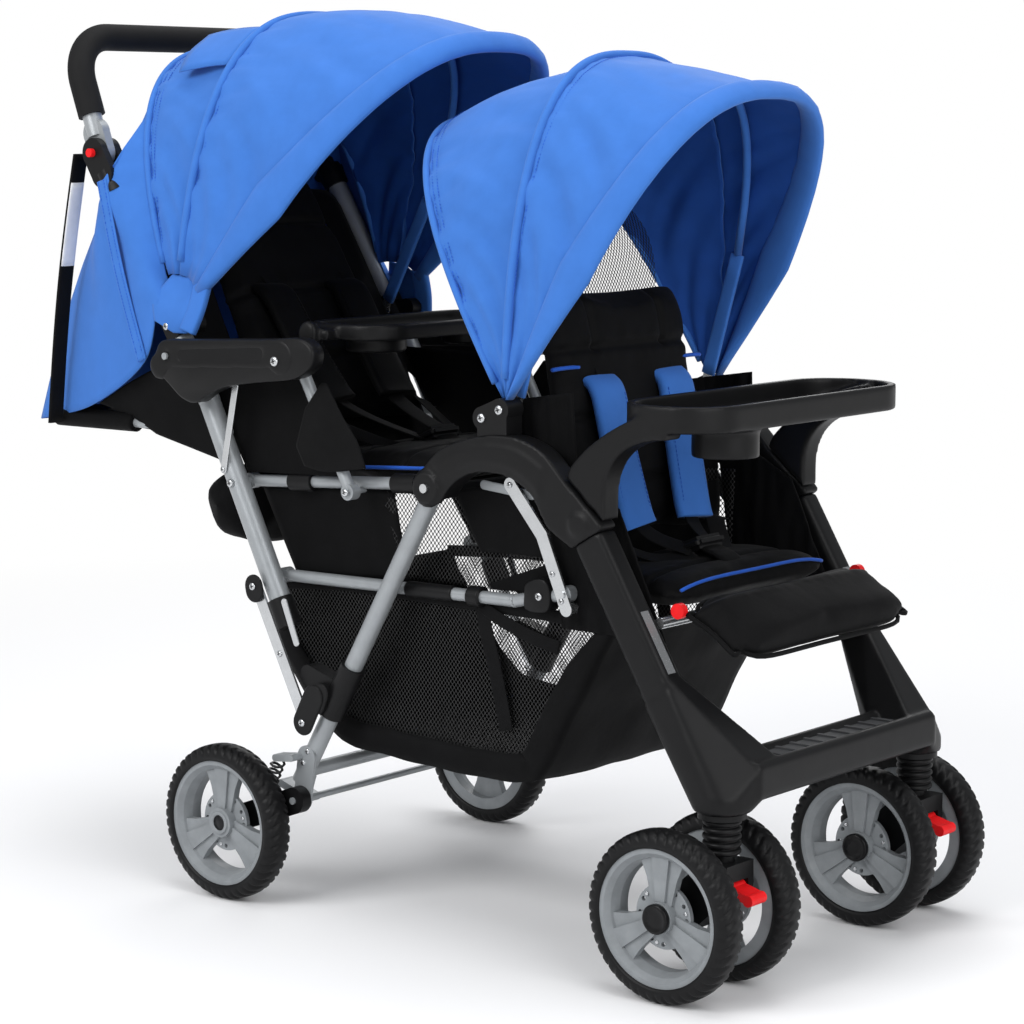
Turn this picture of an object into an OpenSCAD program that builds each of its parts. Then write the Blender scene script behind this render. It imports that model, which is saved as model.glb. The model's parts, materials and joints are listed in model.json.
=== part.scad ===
// Tandem stroller: two seats in line on a folding tube frame.
// +X is forward, +Z is up, and the origin is on the floor below the middle of the stroller.
// Side-frame places are written as [x, z], with x counted forward from the rear axle.

/* [Wheels] */
// Outer diameter of every tyre
wheel_d = 180; // [160:1:190]
// Diameter of the rim under the tyre
rim_d = 144; // [125:1:150]
// Width of a tyre
tyre_w = 34; // [28:1:38]
// Distance from the rear axle to the front axles
wheelbase = 623; // [600:1:640]
// Distance between the middles of the rear wheels
rear_track = 470; // [465:1:490]
// Distance between the swivel axes of the two casters
caster_track = 370; // [364:1:374]
// Distance between the two wheels of a caster
twin_spacing = 103; // [98:1:106]
// Distance of the axle behind the swivel axis
caster_trail = 33; // [26:1:38]
// Diameter of the wheel axles
axle_d = 12; // [10:1:14]
// Travel of the caster plungers
caster_travel = 5; // [4:1:6]

/* [Frame] */
// Distance of the side frames from the middle
side_y = 188; // [187:0.5:189]
// Distance of the seat rails from the middle
rail_y = 165; // [163:0.5:165]
// Diameter of the pusher tubes
pusher_d = 25; // [22:0.5:25]
// Diameter of the rear leg tubes
leg_d = 21; // [18:0.5:21]
// Diameter of the seat rails and lower rails
rail_d = 14; // [12:0.5:14]
// Diameter of the pivot pins
pin_d = 10; // [8:0.5:10]
// Width of a front leg seen from the side
front_leg_w = 40; // [36:1:46]
// Thickness of a front leg across the stroller
front_leg_t = 30; // [26:1:30]
// Thickness of the arch across the stroller
arch_t = 28; // [24:1:28]
// Width of the flat stays and fold links
stay_w = 15; // [12:1:16]

/* [Handle] */
// Height of the crossbar above the joints of the handle
handle_up = 136; // [115:1:152]
// Diameter of the foam grip
grip_d = 32; // [28:1:36]
// Radius of the handle corners
handle_corner_r = 58; // [45:1:65]
// Travel of the handle buttons
button_travel = 3; // [2:0.5:4]

/* [Trays] */
// Radius of a cup well
cup_r = 31; // [28:1:32]
// Depth of a cup well
cup_depth = 34; // [30:1:40]
// Thickness of tray walls
tray_wall = 4; // [3:0.5:5]
// Width of the front tray across the stroller
front_tray_w = 398; // [390:1:402]
// Depth of the front tray
front_tray_d = 128; // [118:1:134]

/* [Soft goods] */
// Half width of the canopies
canopy_half_w = 190; // [184:1:192]
// Thickness of the canopy cloth
canopy_t = 4; // [3:0.5:5]
// Half width of the seat pads
pad_half_w = 148; // [135:1:148]
// Thickness of the seat pads
pad_t = 32; // [26:1:34]
// Thickness of the basket cloth
basket_t = 4; // [3:0.5:5]

/* [Fits] */
// Radial room of a pin or shaft in its hole
running_fit = 0.05; // [0.02:0.01:0.1]
// Room between pieces that pass each other
clearance = 0.5; // [0.3:0.1:0.8]

/* [Hidden] */
$fn = 48;
hull_fn = 28;

black = [0.07, 0.07, 0.08];
cloth = [0.05, 0.05, 0.06];
silver = [0.66, 0.68, 0.70];
wheel_grey = [0.60, 0.61, 0.63];
blue = [0.13, 0.42, 0.90];
red = [0.90, 0.10, 0.12];
rubber = [0.10, 0.10, 0.11];

// Overall reach, which puts the origin below the middle
drop_foot = [-392, 512];
front_tray_mid = [577, 573];
front_tray_size = [front_tray_d, front_tray_w];
front_end_x = max(wheelbase + wheel_d / 2, front_tray_mid[0] + front_tray_size[0] / 2);
mid_x = (drop_foot[0] + front_end_x) / 2;

wheel_r = wheel_d / 2;
rim_r = rim_d / 2;
rear_wheel_y = rear_track / 2;
caster_y = caster_track / 2;
caster_x = wheelbase + caster_trail;
pin_r = pin_d / 2;
hole_r = pin_r + running_fit;
mid_pin_r = pin_r - 1;
small_pin_r = pin_r - 2;
pusher_r = pusher_d / 2;
leg_r = leg_d / 2;
rail_r = rail_d / 2;

// Pivots of the folding side frame, as [x, z]
arch_pivot = [278, 494];
pusher_pivot = [-21, 475];
strut_foot = [153, 478];
armrest_pivot = [-99, 618];
armrest_front = armrest_pivot + strut_foot - pusher_pivot;
lower_rail_front = [441, 391];
lower_rail_rear = [31, 370];
link_top = [21, 361];
link_foot = [96, 213];

// Pusher tube: its foot, its bend and its top
pusher_foot = [49, 334];
pusher_bend = [-67, 567];
handle_pivot = [-240, 848];
joint_r = 17;
pusher_top = handle_pivot - (joint_r + 9) * unit(handle_pivot - pusher_bend);
handle_x = -290;
handle_z = handle_pivot[1] + handle_up;

// Rear leg, trailing arm and front leg
leg_foot = [73, 140];
arm_pivot = [84, 122];
front_leg_top = [494, 458];
front_leg_foot = [wheelbase + 25, 200];
foot_bottom = 194;
foot_r = 29;

// Sideways places of the flat pieces
arch_inner = side_y - arch_t / 2 + 1;
arch_outer = arch_inner + arch_t;
stay_t = 3;
link_y = side_y + pusher_r + 2;
armrest_inner = side_y + pusher_r + 1.5;
armrest_t = 24;
strut_r = 7;
eye_inset = 0.6;
eye_lip = 2;
bend_swell = 0.4;
bar_swell = 0.5;

// Canopy pivots and the angles and radii of their ribs
rear_canopy_pivot = [-119, 650];
front_canopy_pivot = [376, 584];
bow_eye_r = 9;
stay_len = 150;

// Seats
front_seat = [402, 574];
front_seat_z = 384;
cross_tube_r = 6;
rear_seat = [24, 262];

// Helpers for placing and repeating

module place() translate([-mid_x, 0, 0]) children();

module both_sides() {
    children();
    mirror([0, 1, 0]) children();
}

// Turns a shape whose +Z faces outwards onto the right (-1) or left (1) side
module face_out(side) rotate([-90 * side, 0, 0]) children();

// Straight rod between two points
module rod(a, b, r) {
    d = b - a;
    len = norm(d);
    translate(a)
        rotate([0, acos(d[2] / len), atan2(d[1], d[0])])
            cylinder(h = len, r = r);
}

// Rod along Y through a side-frame place
module pin(at, y0, y1, r) translate([at[0], max(y0, y1), at[1]])
    rotate([90, 0, 0]) cylinder(h = abs(y1 - y0), r = r);

// Flat piece in the side plane, from y0 to y1
module flat(y0, y1) translate([0, max(y0, y1), 0])
    rotate([90, 0, 0]) linear_extrude(abs(y1 - y0)) children();

// Flattened eye at the end of a tube of radius r on the right side
module eye(at, y, r) pin(at, -y - r + eye_inset, -y + r - eye_inset, r + eye_lip);

// Outline of a bar with round ends
module bar(a, b, w) {
    d = b - a;
    for (at = [a, b]) translate(at) circle(d = w + bar_swell);
    translate(a) rotate(atan2(d[1], d[0])) translate([0, -w / 2]) square([norm(d), w]);
}

module rounded_rect(w, h, r) {
    square([w - 2 * r, h], center = true);
    square([w, h - 2 * r], center = true);
    for (x = [-1, 1], y = [-1, 1])
        translate([x * (w / 2 - r), y * (h / 2 - r)]) circle(r);
}

function at_side(p, y) = [p[0], y, p[1]];
function mix(a, b, t) = a + (b - a) * t;
function signed_pow(v, p) = sign(v) * pow(abs(v), p);
function unit(v) = v / norm(v);

// Closed solid between two grids of points that share their edges' order
function grid_index(i, j, cols, base) = base + i * cols + j;
function patch(rows, cols, base, flip) = [
    for (i = [0 : rows - 2], j = [0 : cols - 2])
        let (a = grid_index(i, j, cols, base), b = grid_index(i, j + 1, cols, base),
             c = grid_index(i + 1, j + 1, cols, base), d = grid_index(i + 1, j, cols, base))
        each flip ? [[a, c, b], [a, d, c]] : [[a, b, c], [a, c, d]]
];
function border(rows, cols) = concat(
    [for (j = [0 : cols - 2]) [0, j]], [for (i = [0 : rows - 2]) [i, cols - 1]],
    [for (j = [cols - 1 : -1 : 1]) [rows - 1, j]], [for (i = [rows - 1 : -1 : 1]) [i, 0]]);
function rim_faces(rows, cols) = let (ring = border(rows, cols), n = len(ring), base = rows * cols) [
    for (k = [0 : n - 1])
        let (p = ring[k], q = ring[(k + 1) % n],
             a = grid_index(p[0], p[1], cols, 0), b = grid_index(q[0], q[1], cols, 0))
        each [[a, base + a, base + b], [a, base + b, b]]
];
function volume6(pts, faces) = sum([for (f = faces) pts[f[0]] * cross(pts[f[1]], pts[f[2]])]);
function sum(v) = v * [for (x = v) 1];

module between(outer, inner) {
    rows = len(outer);
    cols = len(outer[0]);
    pts = concat([for (r = outer) each r], [for (r = inner) each r]);
    faces = concat(patch(rows, cols, 0, false), patch(rows, cols, rows * cols, true),
                   rim_faces(rows, cols));
    turned = volume6(pts, faces) > 0 ? [for (f = faces) [f[0], f[2], f[1]]] : faces;
    polyhedron(pts, turned);
}

// Wheels. +Z faces out of the stroller, and the wheel's middle is at the origin

spokes = 3;
hub_r = 17;
rim_lip = 5;
rim_wall = 5;

module rim_ring() rotate_extrude() polygon([
    [rim_r - rim_wall - 9, -tyre_w / 2 + 2], [rim_r, -tyre_w / 2 + 2],
    [rim_r, tyre_w / 2 - 2], [rim_r - rim_lip, tyre_w / 2 - 2],
    [rim_r - rim_wall - 5, tyre_w / 2 - 8], [rim_r - rim_wall - 9, -2]]);

module spoke() {
    reach = rim_r - rim_wall - 2;
    translate([0, 0, -3]) linear_extrude(9) polygon([
        [hub_r - 4, -12], [reach * 0.62, -19], [reach, -30], [reach, 30],
        [reach * 0.62, 19], [hub_r - 4, 12]]);
    translate([0, 0, 5]) linear_extrude(4) polygon([
        [hub_r - 4, -5], [reach, -11], [reach, 11], [hub_r - 4, 5]]);
}

module brake_ring() difference() {
    cylinder(h = 5, r = 34, center = true);
    for (k = [0 : 11]) rotate(k * 30) translate([29, 0, 0]) cylinder(h = 12, r = 2.5, center = true);
}

module rim(hub_back) {
    difference() {
        union() {
            rim_ring();
            intersection() {
                cylinder(h = tyre_w, r = rim_r - rim_wall, center = true);
                for (k = [0 : spokes - 1]) rotate(k * 360 / spokes + 90) spoke();
            }
            brake_ring();
            translate([0, 0, -hub_back]) cylinder(h = hub_back + 13, r = hub_r);
        }
        children();
    }
}

module tyre() rotate_extrude() difference() {
    translate([rim_r, 0]) union() {
        translate([0, -tyre_w / 2]) square([4, tyre_w]);
        translate([wheel_r - rim_r - 9, 0]) rounded_rect(18, tyre_w, 8.5);
        translate([0, -tyre_w / 2]) square([wheel_r - rim_r - 9, tyre_w]);
    }
    translate([0, -tyre_w]) square([rim_r, 2 * tyre_w]);
    for (y = [-tyre_w / 5, tyre_w / 5]) translate([wheel_r, y]) circle(1.2);
}

module rear_wheel_at(side) place()
    translate([0, side * rear_wheel_y, wheel_r]) face_out(side) children();

module rear_rim(side) color(wheel_grey) rear_wheel_at(side)
    rim(tyre_w / 2)
        translate([0, 0, -tyre_w]) cylinder(h = 2 * tyre_w, r = axle_d / 2 + running_fit);

module rear_tyre(side) color(rubber) rear_wheel_at(side) tyre();

module front_wheel_at(side, out) place()
    translate([wheelbase, side * caster_y + out * twin_spacing / 2, wheel_r]) face_out(out) children();

// The two rims of a caster turn with one axle, which runs through the fork
module front_rims(side) color(wheel_grey) {
    for (out = [-1, 1]) front_wheel_at(side, out) {
        rim(tyre_w / 2 + 3);
        translate([0, 0, 13]) cylinder(h = 5, r1 = 14, r2 = 12);
    }
    place() pin([wheelbase, wheel_r], side * caster_y - twin_spacing / 2,
                side * caster_y + twin_spacing / 2, axle_d / 2);
}

module front_tyres(side) color(rubber)
    for (out = [-1, 1]) front_wheel_at(side, out) tyre();

// Casters. The housing swivels in the foot, and the fork slides up into it on a spring

stem_r = 8;
stem_len = 28;
plunger_r = 13;
flange_z = foot_bottom - clearance;
housing_bottom = 150;
plunger_top = 170;
fork_top = housing_bottom - caster_travel - 1.5;
fork_w = 46;
fork_t = twin_spacing - tyre_w - 22;
bellows_ribs = 5;

module caster_at(side) place() translate([caster_x, side * caster_y, 0]) children();

module caster_housing(side) color(black) caster_at(side) difference() {
    pitch = (flange_z - 6 - housing_bottom) / bellows_ribs;
    union() {
        translate([0, 0, flange_z - 6]) cylinder(h = 6, r = 25);
        translate([0, 0, flange_z]) cylinder(h = stem_len, r = stem_r);
        translate([0, 0, housing_bottom]) rotate_extrude() union() {
            square([17, flange_z - 6 - housing_bottom]);
            for (k = [0 : bellows_ribs - 1])
                translate([17, pitch * (k + 0.5)]) circle(r = pitch * 0.42);
        }
    }
    translate([0, 0, housing_bottom - 1])
        cylinder(h = plunger_top + caster_travel + 2 - housing_bottom, r = plunger_r + running_fit);
}

module caster_fork(side) color(black) place() {
    axle = [wheelbase, wheel_r];
    neck = [caster_x, fork_top - fork_w / 2];
    difference() {
        union() {
            flat(side * caster_y - fork_t / 2, side * caster_y + fork_t / 2) {
                bar(axle, neck, fork_w);
                translate(neck + [-10, 0]) square([fork_w / 2 + 10, fork_w / 2]);
            }
            translate([caster_x, side * caster_y, fork_top - 10])
                cylinder(h = plunger_top - fork_top + 10, r = plunger_r);
        }
        pin(axle, side * caster_y - twin_spacing, side * caster_y + twin_spacing,
            axle_d / 2 + running_fit);
        flat(side * caster_y - lever_w / 2 - 1, side * caster_y + lever_w / 2 + 1)
            translate(lever_pivot) circle(13);
    }
    pin(lever_pivot, side * caster_y - lever_w / 2 - 1, side * caster_y + lever_w / 2 + 1, lever_pin_r);
}

lever_pivot = [caster_x + 14, fork_top - 27];
lever_w = 26;
lever_pin_r = 3;

module caster_lever(side) color(red) place() difference() {
    flat(side * caster_y - lever_w / 2, side * caster_y + lever_w / 2) {
        translate(lever_pivot) circle(8);
        translate(lever_pivot) rotate(-14) translate([0, -4]) square([28, 9]);
        translate(lever_pivot + [27, -7]) circle(6);
    }
    pin(lever_pivot, side * caster_y - lever_w, side * caster_y + lever_w, lever_pin_r + running_fit);
}

// Front frame

module leg_section(more = 0)
    rounded_rect(front_leg_w + more, front_leg_t + more, 7);

leg_line = front_leg_foot - front_leg_top;
leg_tilt = atan2(leg_line[0], -leg_line[1]);
leg_across = [cos(leg_tilt), sin(leg_tilt)];
web_y = 128;

// Thin slice of the crossbar, as far out as y
module bar_end(y) translate([board_x[0] + 1.5, -y, board_z[0] + 1.5])
    cube([board_x[1] - board_x[0] - 3, 6, board_z[1] - board_z[0] - 2.5]);

module along_leg(share) translate(at_side(mix(front_leg_top, front_leg_foot, share), -side_y))
    rotate([0, -leg_tilt, 0]) rotate([180, 0, 0]) children();

module front_leg() difference() {
    union() {
        along_leg(0) linear_extrude(norm(leg_line) * 0.8) leg_section();
        // Boot that spreads from the leg to its foot and to the end of the crossbar
        hull() {
            along_leg(0.6) linear_extrude(2, $fn = hull_fn) leg_section(2);
            translate([caster_x, -caster_y, foot_bottom]) cylinder(h = 16, r = foot_r, $fn = hull_fn);
            bar_end(boot_y);
        }
        // Web that flares from the leg into the crossbar
        hull() {
            along_leg(0.56) linear_extrude(3, $fn = hull_fn) leg_section(1);
            bar_end(boot_y);
            bar_end(web_y);
        }
    }
    translate([caster_x, -caster_y, foot_bottom - 1]) cylinder(h = stem_len + 2, r = stem_r + running_fit);
}

// The legs and the crossbar between their feet are one moulding
module front_legs() color(black) place() {
    both_sides() front_leg();
    crossbar();
}

// Upper and lower lines of the arch, from the rear boss to the front block
arch_top = [[264, 506], [281, 526], [303, 541], [341, 553], [377, 558], [408, 555], [438, 542],
            [463, 517]];
arch_under = [[443, 464], [431, 482], [420, 498], [393, 513], [357, 517], [328, 510], [307, 495],
              [296, 478]];
seat_end = front_leg_top + [18, 17];
block_half = front_leg_w / 2 + 3;

function spline(p, n) = [
    for (k = [0 : len(p) - 2], j = [0 : n - 1])
        let (t = j / n, a = p[max(k - 1, 0)], b = p[k], c = p[k + 1], d = p[min(k + 2, len(p) - 1)])
        0.5 * (2 * b + (c - a) * t + (2 * a - 5 * b + 4 * c - d) * t * t
               + (3 * b - a - 3 * c + d) * t * t * t),
    p[len(p) - 1]];

// Arch with its rear boss and front block, from y0 to y1
module arch_outline(y0, y1) flat(y0, y1) {
    polygon(concat(spline(arch_top, 3),
                   [seat_end, front_leg_top + block_half * leg_across,
                    front_leg_top - block_half * leg_across],
                   spline(arch_under, 3)));
    translate(arch_pivot) circle(22);
}

// Line between the arch's lower and upper lines
function arch_between(share, from, to) = [for (k = [from : to])
    mix(arch_under[len(arch_under) - 1 - k], arch_top[k], share)];

// Raised panel on the outer face of the arch
module arch_panel() polygon(concat(spline(arch_between(0.74, 1, 6), 3),
    spline([for (k = [5 : -1 : 0]) arch_between(0.26, 1, 6)[k]], 3)));

module arch() difference() {
    union() {
        arch_outline(-arch_outer, -arch_inner);
        flat(-arch_outer - 5, -arch_outer) translate(arch_pivot) circle(18);
        flat(-arch_outer - 3, -arch_outer) translate(tray_button) circle(12);
        flat(-arch_outer - 2, -arch_outer) arch_panel();
    }
    pin(arch_pivot, -arch_outer - 10, -arch_inner + 10, pin_r);
    // Room for the top of the rear leg
    pin(arch_pivot, -arch_inner + 1, -side_y - leg_r - clearance, leg_r + 6);
    flat(-side_y - leg_r - clearance, -arch_inner + 1) translate(arch_pivot)
        polygon([[-60, 0], [0, leg_r + 4], [40, -40], [0, -90], [-90, -90]]);
    // Socket of the tray
    tray_plug(clearance);
}

module arches() color(black) place() both_sides() arch();

// Flat stays, cross tubes and pivot pins of the front frame
stay_top = [370, 502];
stay_knee = [413, 452];
stay_foot = [446, 376];
front_cross = [566, 374];

module frame_steelwork() color(silver) place() {
    both_sides() {
        difference() {
            flat(-arch_inner, -arch_inner + stay_t) {
                bar(stay_top, stay_knee, stay_w);
                bar(stay_knee, stay_foot, stay_w);
            }
            pin(lower_rail_front, -side_y, -rail_y, mid_pin_r);
        }
        pin(arch_pivot, -arch_outer - 7, -rail_y + rail_r + 2, pin_r);
        pin(lower_rail_front, -arch_inner - 2, -rail_y + rail_r + 2, mid_pin_r);
    }
    rod(at_side(stay_foot, -arch_inner + stay_t), at_side(stay_foot, arch_inner - stay_t), cross_tube_r);
    rod(at_side(front_cross, -side_y + front_leg_t / 2 + clearance),
        at_side(front_cross, side_y - front_leg_t / 2 - clearance), cross_tube_r);
}

// Crossbar between the feet, with two rails that hold the tread
board_x = [front_leg_foot[0] - 16, front_leg_foot[0] + 44];
board_z = [205, 238];
board_half = caster_y - stem_r - 8;
boot_y = board_half;
rail_lip_r = 8;
tread_half = web_y - 10;
tread_ribs = 9;
rib_w = 5;

module crossbar() flat(-board_half, board_half) {
    translate([(board_x[0] + board_x[1]) / 2, (board_z[0] + board_z[1]) / 2])
        rounded_rect(board_x[1] - board_x[0], board_z[1] - board_z[0], 6);
    for (x = [board_x[0] + rail_lip_r, board_x[1] - rail_lip_r])
        translate([x, board_z[1] - 1]) circle(rail_lip_r);
}

// Ribbed tread between the two rails
module footboard() color([0.22, 0.22, 0.23]) place() {
    x0 = board_x[0] + 2 * rail_lip_r + 1;
    x1 = board_x[1] - 2 * rail_lip_r - 1;
    translate([x0, -tread_half, board_z[1]]) cube([x1 - x0, 2 * tread_half, 2]);
    for (k = [0 : tread_ribs - 1])
        let (y = mix(-tread_half + 10, tread_half - 10 - rib_w, k / (tread_ribs - 1)))
            translate([x0, y, board_z[1] + 1]) cube([x1 - x0, rib_w, 3]);
}

module reflectors() color([0.8, 0.82, 0.84]) place() both_sides() {
    along_leg(0.31) translate([front_leg_w / 2, -5, 0]) cube([0.8, 12, 70]);
}

// Canopies

function arch_point(pivot, angle, r, half_w, low, phi, power) = let (
    reach = low + (r - low) * pow(sin(phi), 2 / power))
    [pivot[0] + reach * cos(angle), half_w * signed_pow(cos(phi), 2 / power),
     pivot[1] + reach * sin(angle)];

function canopy_grid(pivot, a0, a1, r0, r1, half_w, low, sag, rows, cols) = [
    for (i = [0 : rows - 1]) let (t = i / (rows - 1), r = mix(r0, r1, t) - sag * 4 * t * (1 - t))
        [for (j = [0 : cols - 1]) arch_point(pivot, mix(a0, a1, t), r, half_w, low,
                                            180 * j / (cols - 1), 2.7)]
];

module canopy_panel(pivot, a0, a1, r0, r1, half_w, low, sag)
    between(canopy_grid(pivot, a0, a1, r0, r1, half_w, low, sag, 8, 21),
            canopy_grid(pivot, a0, a1, r0 - canopy_t, r1 - canopy_t, half_w - canopy_t, low, sag, 8, 21));

rear_rib = [80, 357];
rear_edge = [107, 334];
rear_rim_edge = [43.5, 459];
front_rib = [87, 366];
front_edge = [122, 358];
front_rim_edge = [58, 388];
rib_lap = 1;
visor_step = canopy_t + 2 * clearance;
rear_canopy_low = 60;
front_canopy_low = 12.6;

module rear_canopy_rear() color(blue) place()
    canopy_panel(rear_canopy_pivot, rear_rib[0], rear_edge[0], rear_rib[1], rear_edge[1],
                 canopy_half_w - visor_step, rear_canopy_low, 6);

module rear_canopy_visor() color(blue) place()
    canopy_panel(rear_canopy_pivot, rear_rim_edge[0], rear_rib[0] + rib_lap, rear_rim_edge[1],
                 rear_rib[1] + visor_step, canopy_half_w, rear_canopy_low, 8);

module front_canopy_rear() color(blue) place()
    canopy_panel(front_canopy_pivot, front_rib[0], front_edge[0], front_rib[1], front_edge[1],
                 canopy_half_w - visor_step, front_canopy_low, 6);

module front_canopy_visor() color(blue) place()
    canopy_panel(front_canopy_pivot, front_rim_edge[0], front_rib[0] + rib_lap, front_rim_edge[1],
                 front_rib[1] + visor_step, canopy_half_w, front_canopy_low + clearance, 8);

bow_pin_r = 3.5;
bow_y = side_y - pusher_r - 2;

// Flat stay that carries the visor from the canopy pivot
module bow_stay(pivot, angle) difference() {
    flat(-bow_y, -bow_y + stay_t) {
        translate(pivot) circle(bow_eye_r);
        bar(pivot, pivot + stay_len * [cos(angle), sin(angle)], 11);
    }
    pin(pivot, -bow_y - 9, -bow_y + 9, bow_pin_r + running_fit);
}

module rear_canopy_stays() color(silver) place() both_sides() bow_stay(rear_canopy_pivot, 62);
module front_canopy_stays() color(silver) place() both_sides() bow_stay(front_canopy_pivot, 74);

pusher_dir = unit(pusher_top - pusher_bend);

// Bracket clamped round the pusher tube, with a pin for the canopy stay
bracket_len = 34;

module rear_canopy_brackets() color(black) place() both_sides() {
    a = rear_canopy_pivot - bracket_len / 2 * pusher_dir;
    b = rear_canopy_pivot + bracket_len / 2 * pusher_dir;
    difference() {
        union() {
            rod(at_side(a, -side_y), at_side(b, -side_y), pusher_r + 4);
            flat(-side_y - 8, -side_y + 8) bar(rear_canopy_pivot, rear_canopy_pivot + [30, 4], 22);
        }
        rod(at_side(pusher_bend, -side_y), at_side(pusher_top, -side_y), pusher_r);
        flat(-bow_y - clearance, -bow_y + 20) translate(rear_canopy_pivot) circle(bracket_len);
        flat(-armrest_inner - 20, -armrest_inner + clearance)
            translate(rear_canopy_pivot) circle(bracket_len);
    }
    difference() {
        pin(rear_canopy_pivot, -bow_y - clearance, -bow_y + stay_t + 2, bow_pin_r);
        rod(at_side(pusher_bend, -side_y), at_side(pusher_top, -side_y), pusher_r);
    }
}

// Bracket that stands on the arch, with a pin for the canopy stay
module front_canopy_brackets() color(black) place() both_sides() {
    difference() {
        flat(-arch_outer + 3, -bow_y - clearance) {
            bar(front_canopy_pivot + [-24, -10], front_canopy_pivot, 24);
            translate(front_canopy_pivot + [-30, -36]) square([40, 34]);
        }
        arch_outline(-arch_outer - 9, -arch_inner + 9);
    }
    pin(front_canopy_pivot, -bow_y - clearance, -bow_y + stay_t + 2, bow_pin_r);
}

// Cushions: a crowned top, drawn-in sides and sewn channels across

function draw_in(u, depth) = 1 - depth * pow(cos(90 * u), 2);
function crown(u, v, channels) = pow(max(0, (1 - pow(abs(u), 4)) * (1 - pow(abs(v), 4))), 0.5)
    * (1 - 0.28 * pow(abs(cos(180 * channels * (u + 1) / 2)), 14));
function pad_grid(len, half_w, lift, channels, rows, cols) = [
    for (i = [0 : rows - 1]) let (u = -1 + 2 * i / (rows - 1))
        [for (j = [0 : cols - 1]) let (v = -1 + 2 * j / (cols - 1))
            [len / 2 * (1 + u * draw_in(v, 0.03)), half_w * v * draw_in(u, 0.04),
             lift[0] + (lift[1] - lift[0]) * crown(u, v, channels)]]
];

// Pad that lies along +X from its edge, with its underside at z = 0
module cushion(len, half_w, t, channels)
    between(pad_grid(len, half_w, [t * 0.45, t], channels, 25, 13),
            pad_grid(len, half_w, [t * 0.25, 0], 0, 25, 13));

module front_seat_pad() color(cloth) place()
    translate([front_seat[0], 0, front_seat_z])
        cushion(front_seat[1] - front_seat[0], pad_half_w, pad_t, 3);

// Stands a pad on its edge, leaning back, with its crown to the front
module lean(tilt) rotate([0, 90 - tilt, 0]) rotate(180) children();

backrest_t = 34;
hem_r = 6;
front_back_hinge = [408, 424];
front_back_len = 290;
front_back_tilt = 9;

// Padded back with a rod in its lower hem, on which it turns
module backrest(len) {
    translate([0, 0, -backrest_t * 0.35]) cushion(len, pad_half_w - 2, backrest_t, 4);
    rotate([90, 0, 0]) cylinder(h = 2 * pad_half_w - 20, r = hem_r, center = true);
}

module front_backrest() color(cloth) place()
    translate(at_side(front_back_hinge, 0)) lean(front_back_tilt) backrest(front_back_len);

calf_hinge = [588, 389];
calf_len = 95;
calf_t = 38;
calf_half_w = side_y - front_leg_t / 2 - 13;
calf_tilt = 31;
calf_button_r = 8;
cheek_t = 6;
cheek_y = calf_half_w + clearance;

// Pad between two cheeks, which hold the buttons at the hinge
module calf_rest() color(cloth) place() {
    translate(at_side(calf_hinge, 0)) rotate([0, calf_tilt, 0])
        translate([-5, 0, -calf_t * 0.34]) cushion(calf_len, calf_half_w, calf_t, 2);
    both_sides() difference() {
        flat(-cheek_y - cheek_t, -cheek_y)
            bar(calf_hinge, calf_hinge + 40 * [cos(calf_tilt), -sin(calf_tilt)], 2 * calf_button_r + 6);
        pin(calf_hinge, -cheek_y - 2 * cheek_t, -cheek_y + cheek_t, calf_button_r + running_fit);
    }
}

module calf_rest_button(side) color(red) place()
    pin(calf_hinge, side * (cheek_y + button_travel), side * (cheek_y + cheek_t + button_travel + 2),
        calf_button_r);

module rear_seat_pad() color(cloth) place()
    translate([rear_seat[0], 0, rail_z(rear_seat[0])]) rotate([0, -rail_slope, 0])
        cushion(rear_seat[1] - rear_seat[0], pad_half_w, pad_t, 3);

rear_back_hinge = [-18, 520];
rear_back_len = 363;
rear_back_tilt = 31;

module rear_backrest() color(cloth) place()
    translate(at_side(rear_back_hinge, 0)) lean(rear_back_tilt) backrest(rear_back_len);

// Folding side frame

module seat_rails() color(silver) place() both_sides() difference() {
    union() {
        rod(at_side(pusher_pivot, -rail_y), at_side(arch_pivot, -rail_y), rail_r);
        for (at = [arch_pivot, pusher_pivot]) eye(at, rail_y, rail_r);
        pin(pusher_pivot, -rail_y, -side_y - pusher_r - 1, pin_r);
        pin(strut_foot, -rail_y, -side_y - strut_r - 2, small_pin_r);
    }
    pin(arch_pivot, -rail_y - 20, -rail_y + 20, hole_r);
}

// Sleeves on the rails, and the cross tubes that carry the rear seat
module rail_brackets() color(black) place() {
    both_sides() for (x = rail_sleeves) difference() {
        translate([x - sleeve_len / 2, -rail_y, rail_z(x - sleeve_len / 2)])
            rotate([0, 90 - rail_slope, 0]) cylinder(h = sleeve_len, r = rail_r + 4);
        rod(at_side(pusher_pivot, -rail_y), at_side(arch_pivot, -rail_y), rail_r);
    }
    for (x = rail_sleeves)
        rod([x, -rail_y + rail_r, rail_z(x) - seat_drop], [x, rail_y - rail_r, rail_z(x) - seat_drop],
            cross_tube_r);
}

rail_sleeves = [60, 216];
sleeve_len = 34;
seat_drop = cross_tube_r + clearance;

rail_slope = atan2(arch_pivot[1] - pusher_pivot[1], arch_pivot[0] - pusher_pivot[0]);
function rail_z(x) = pusher_pivot[1] + (x - pusher_pivot[0]) * tan(rail_slope);

lower_bend = [369, 376];

module lower_rails() color(silver) place() both_sides() difference() {
    union() {
        rod(at_side(lower_rail_rear, -rail_y), at_side(lower_bend, -rail_y), rail_r);
        translate(at_side(lower_bend, -rail_y)) sphere(rail_r + bend_swell);
        rod(at_side(lower_bend, -rail_y), at_side(lower_rail_front, -rail_y), rail_r);
        for (at = [lower_rail_rear, lower_rail_front]) eye(at, rail_y, rail_r);
    }
    pin(lower_rail_front, -rail_y - 20, -rail_y + 20, mid_pin_r + running_fit);
}

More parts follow.
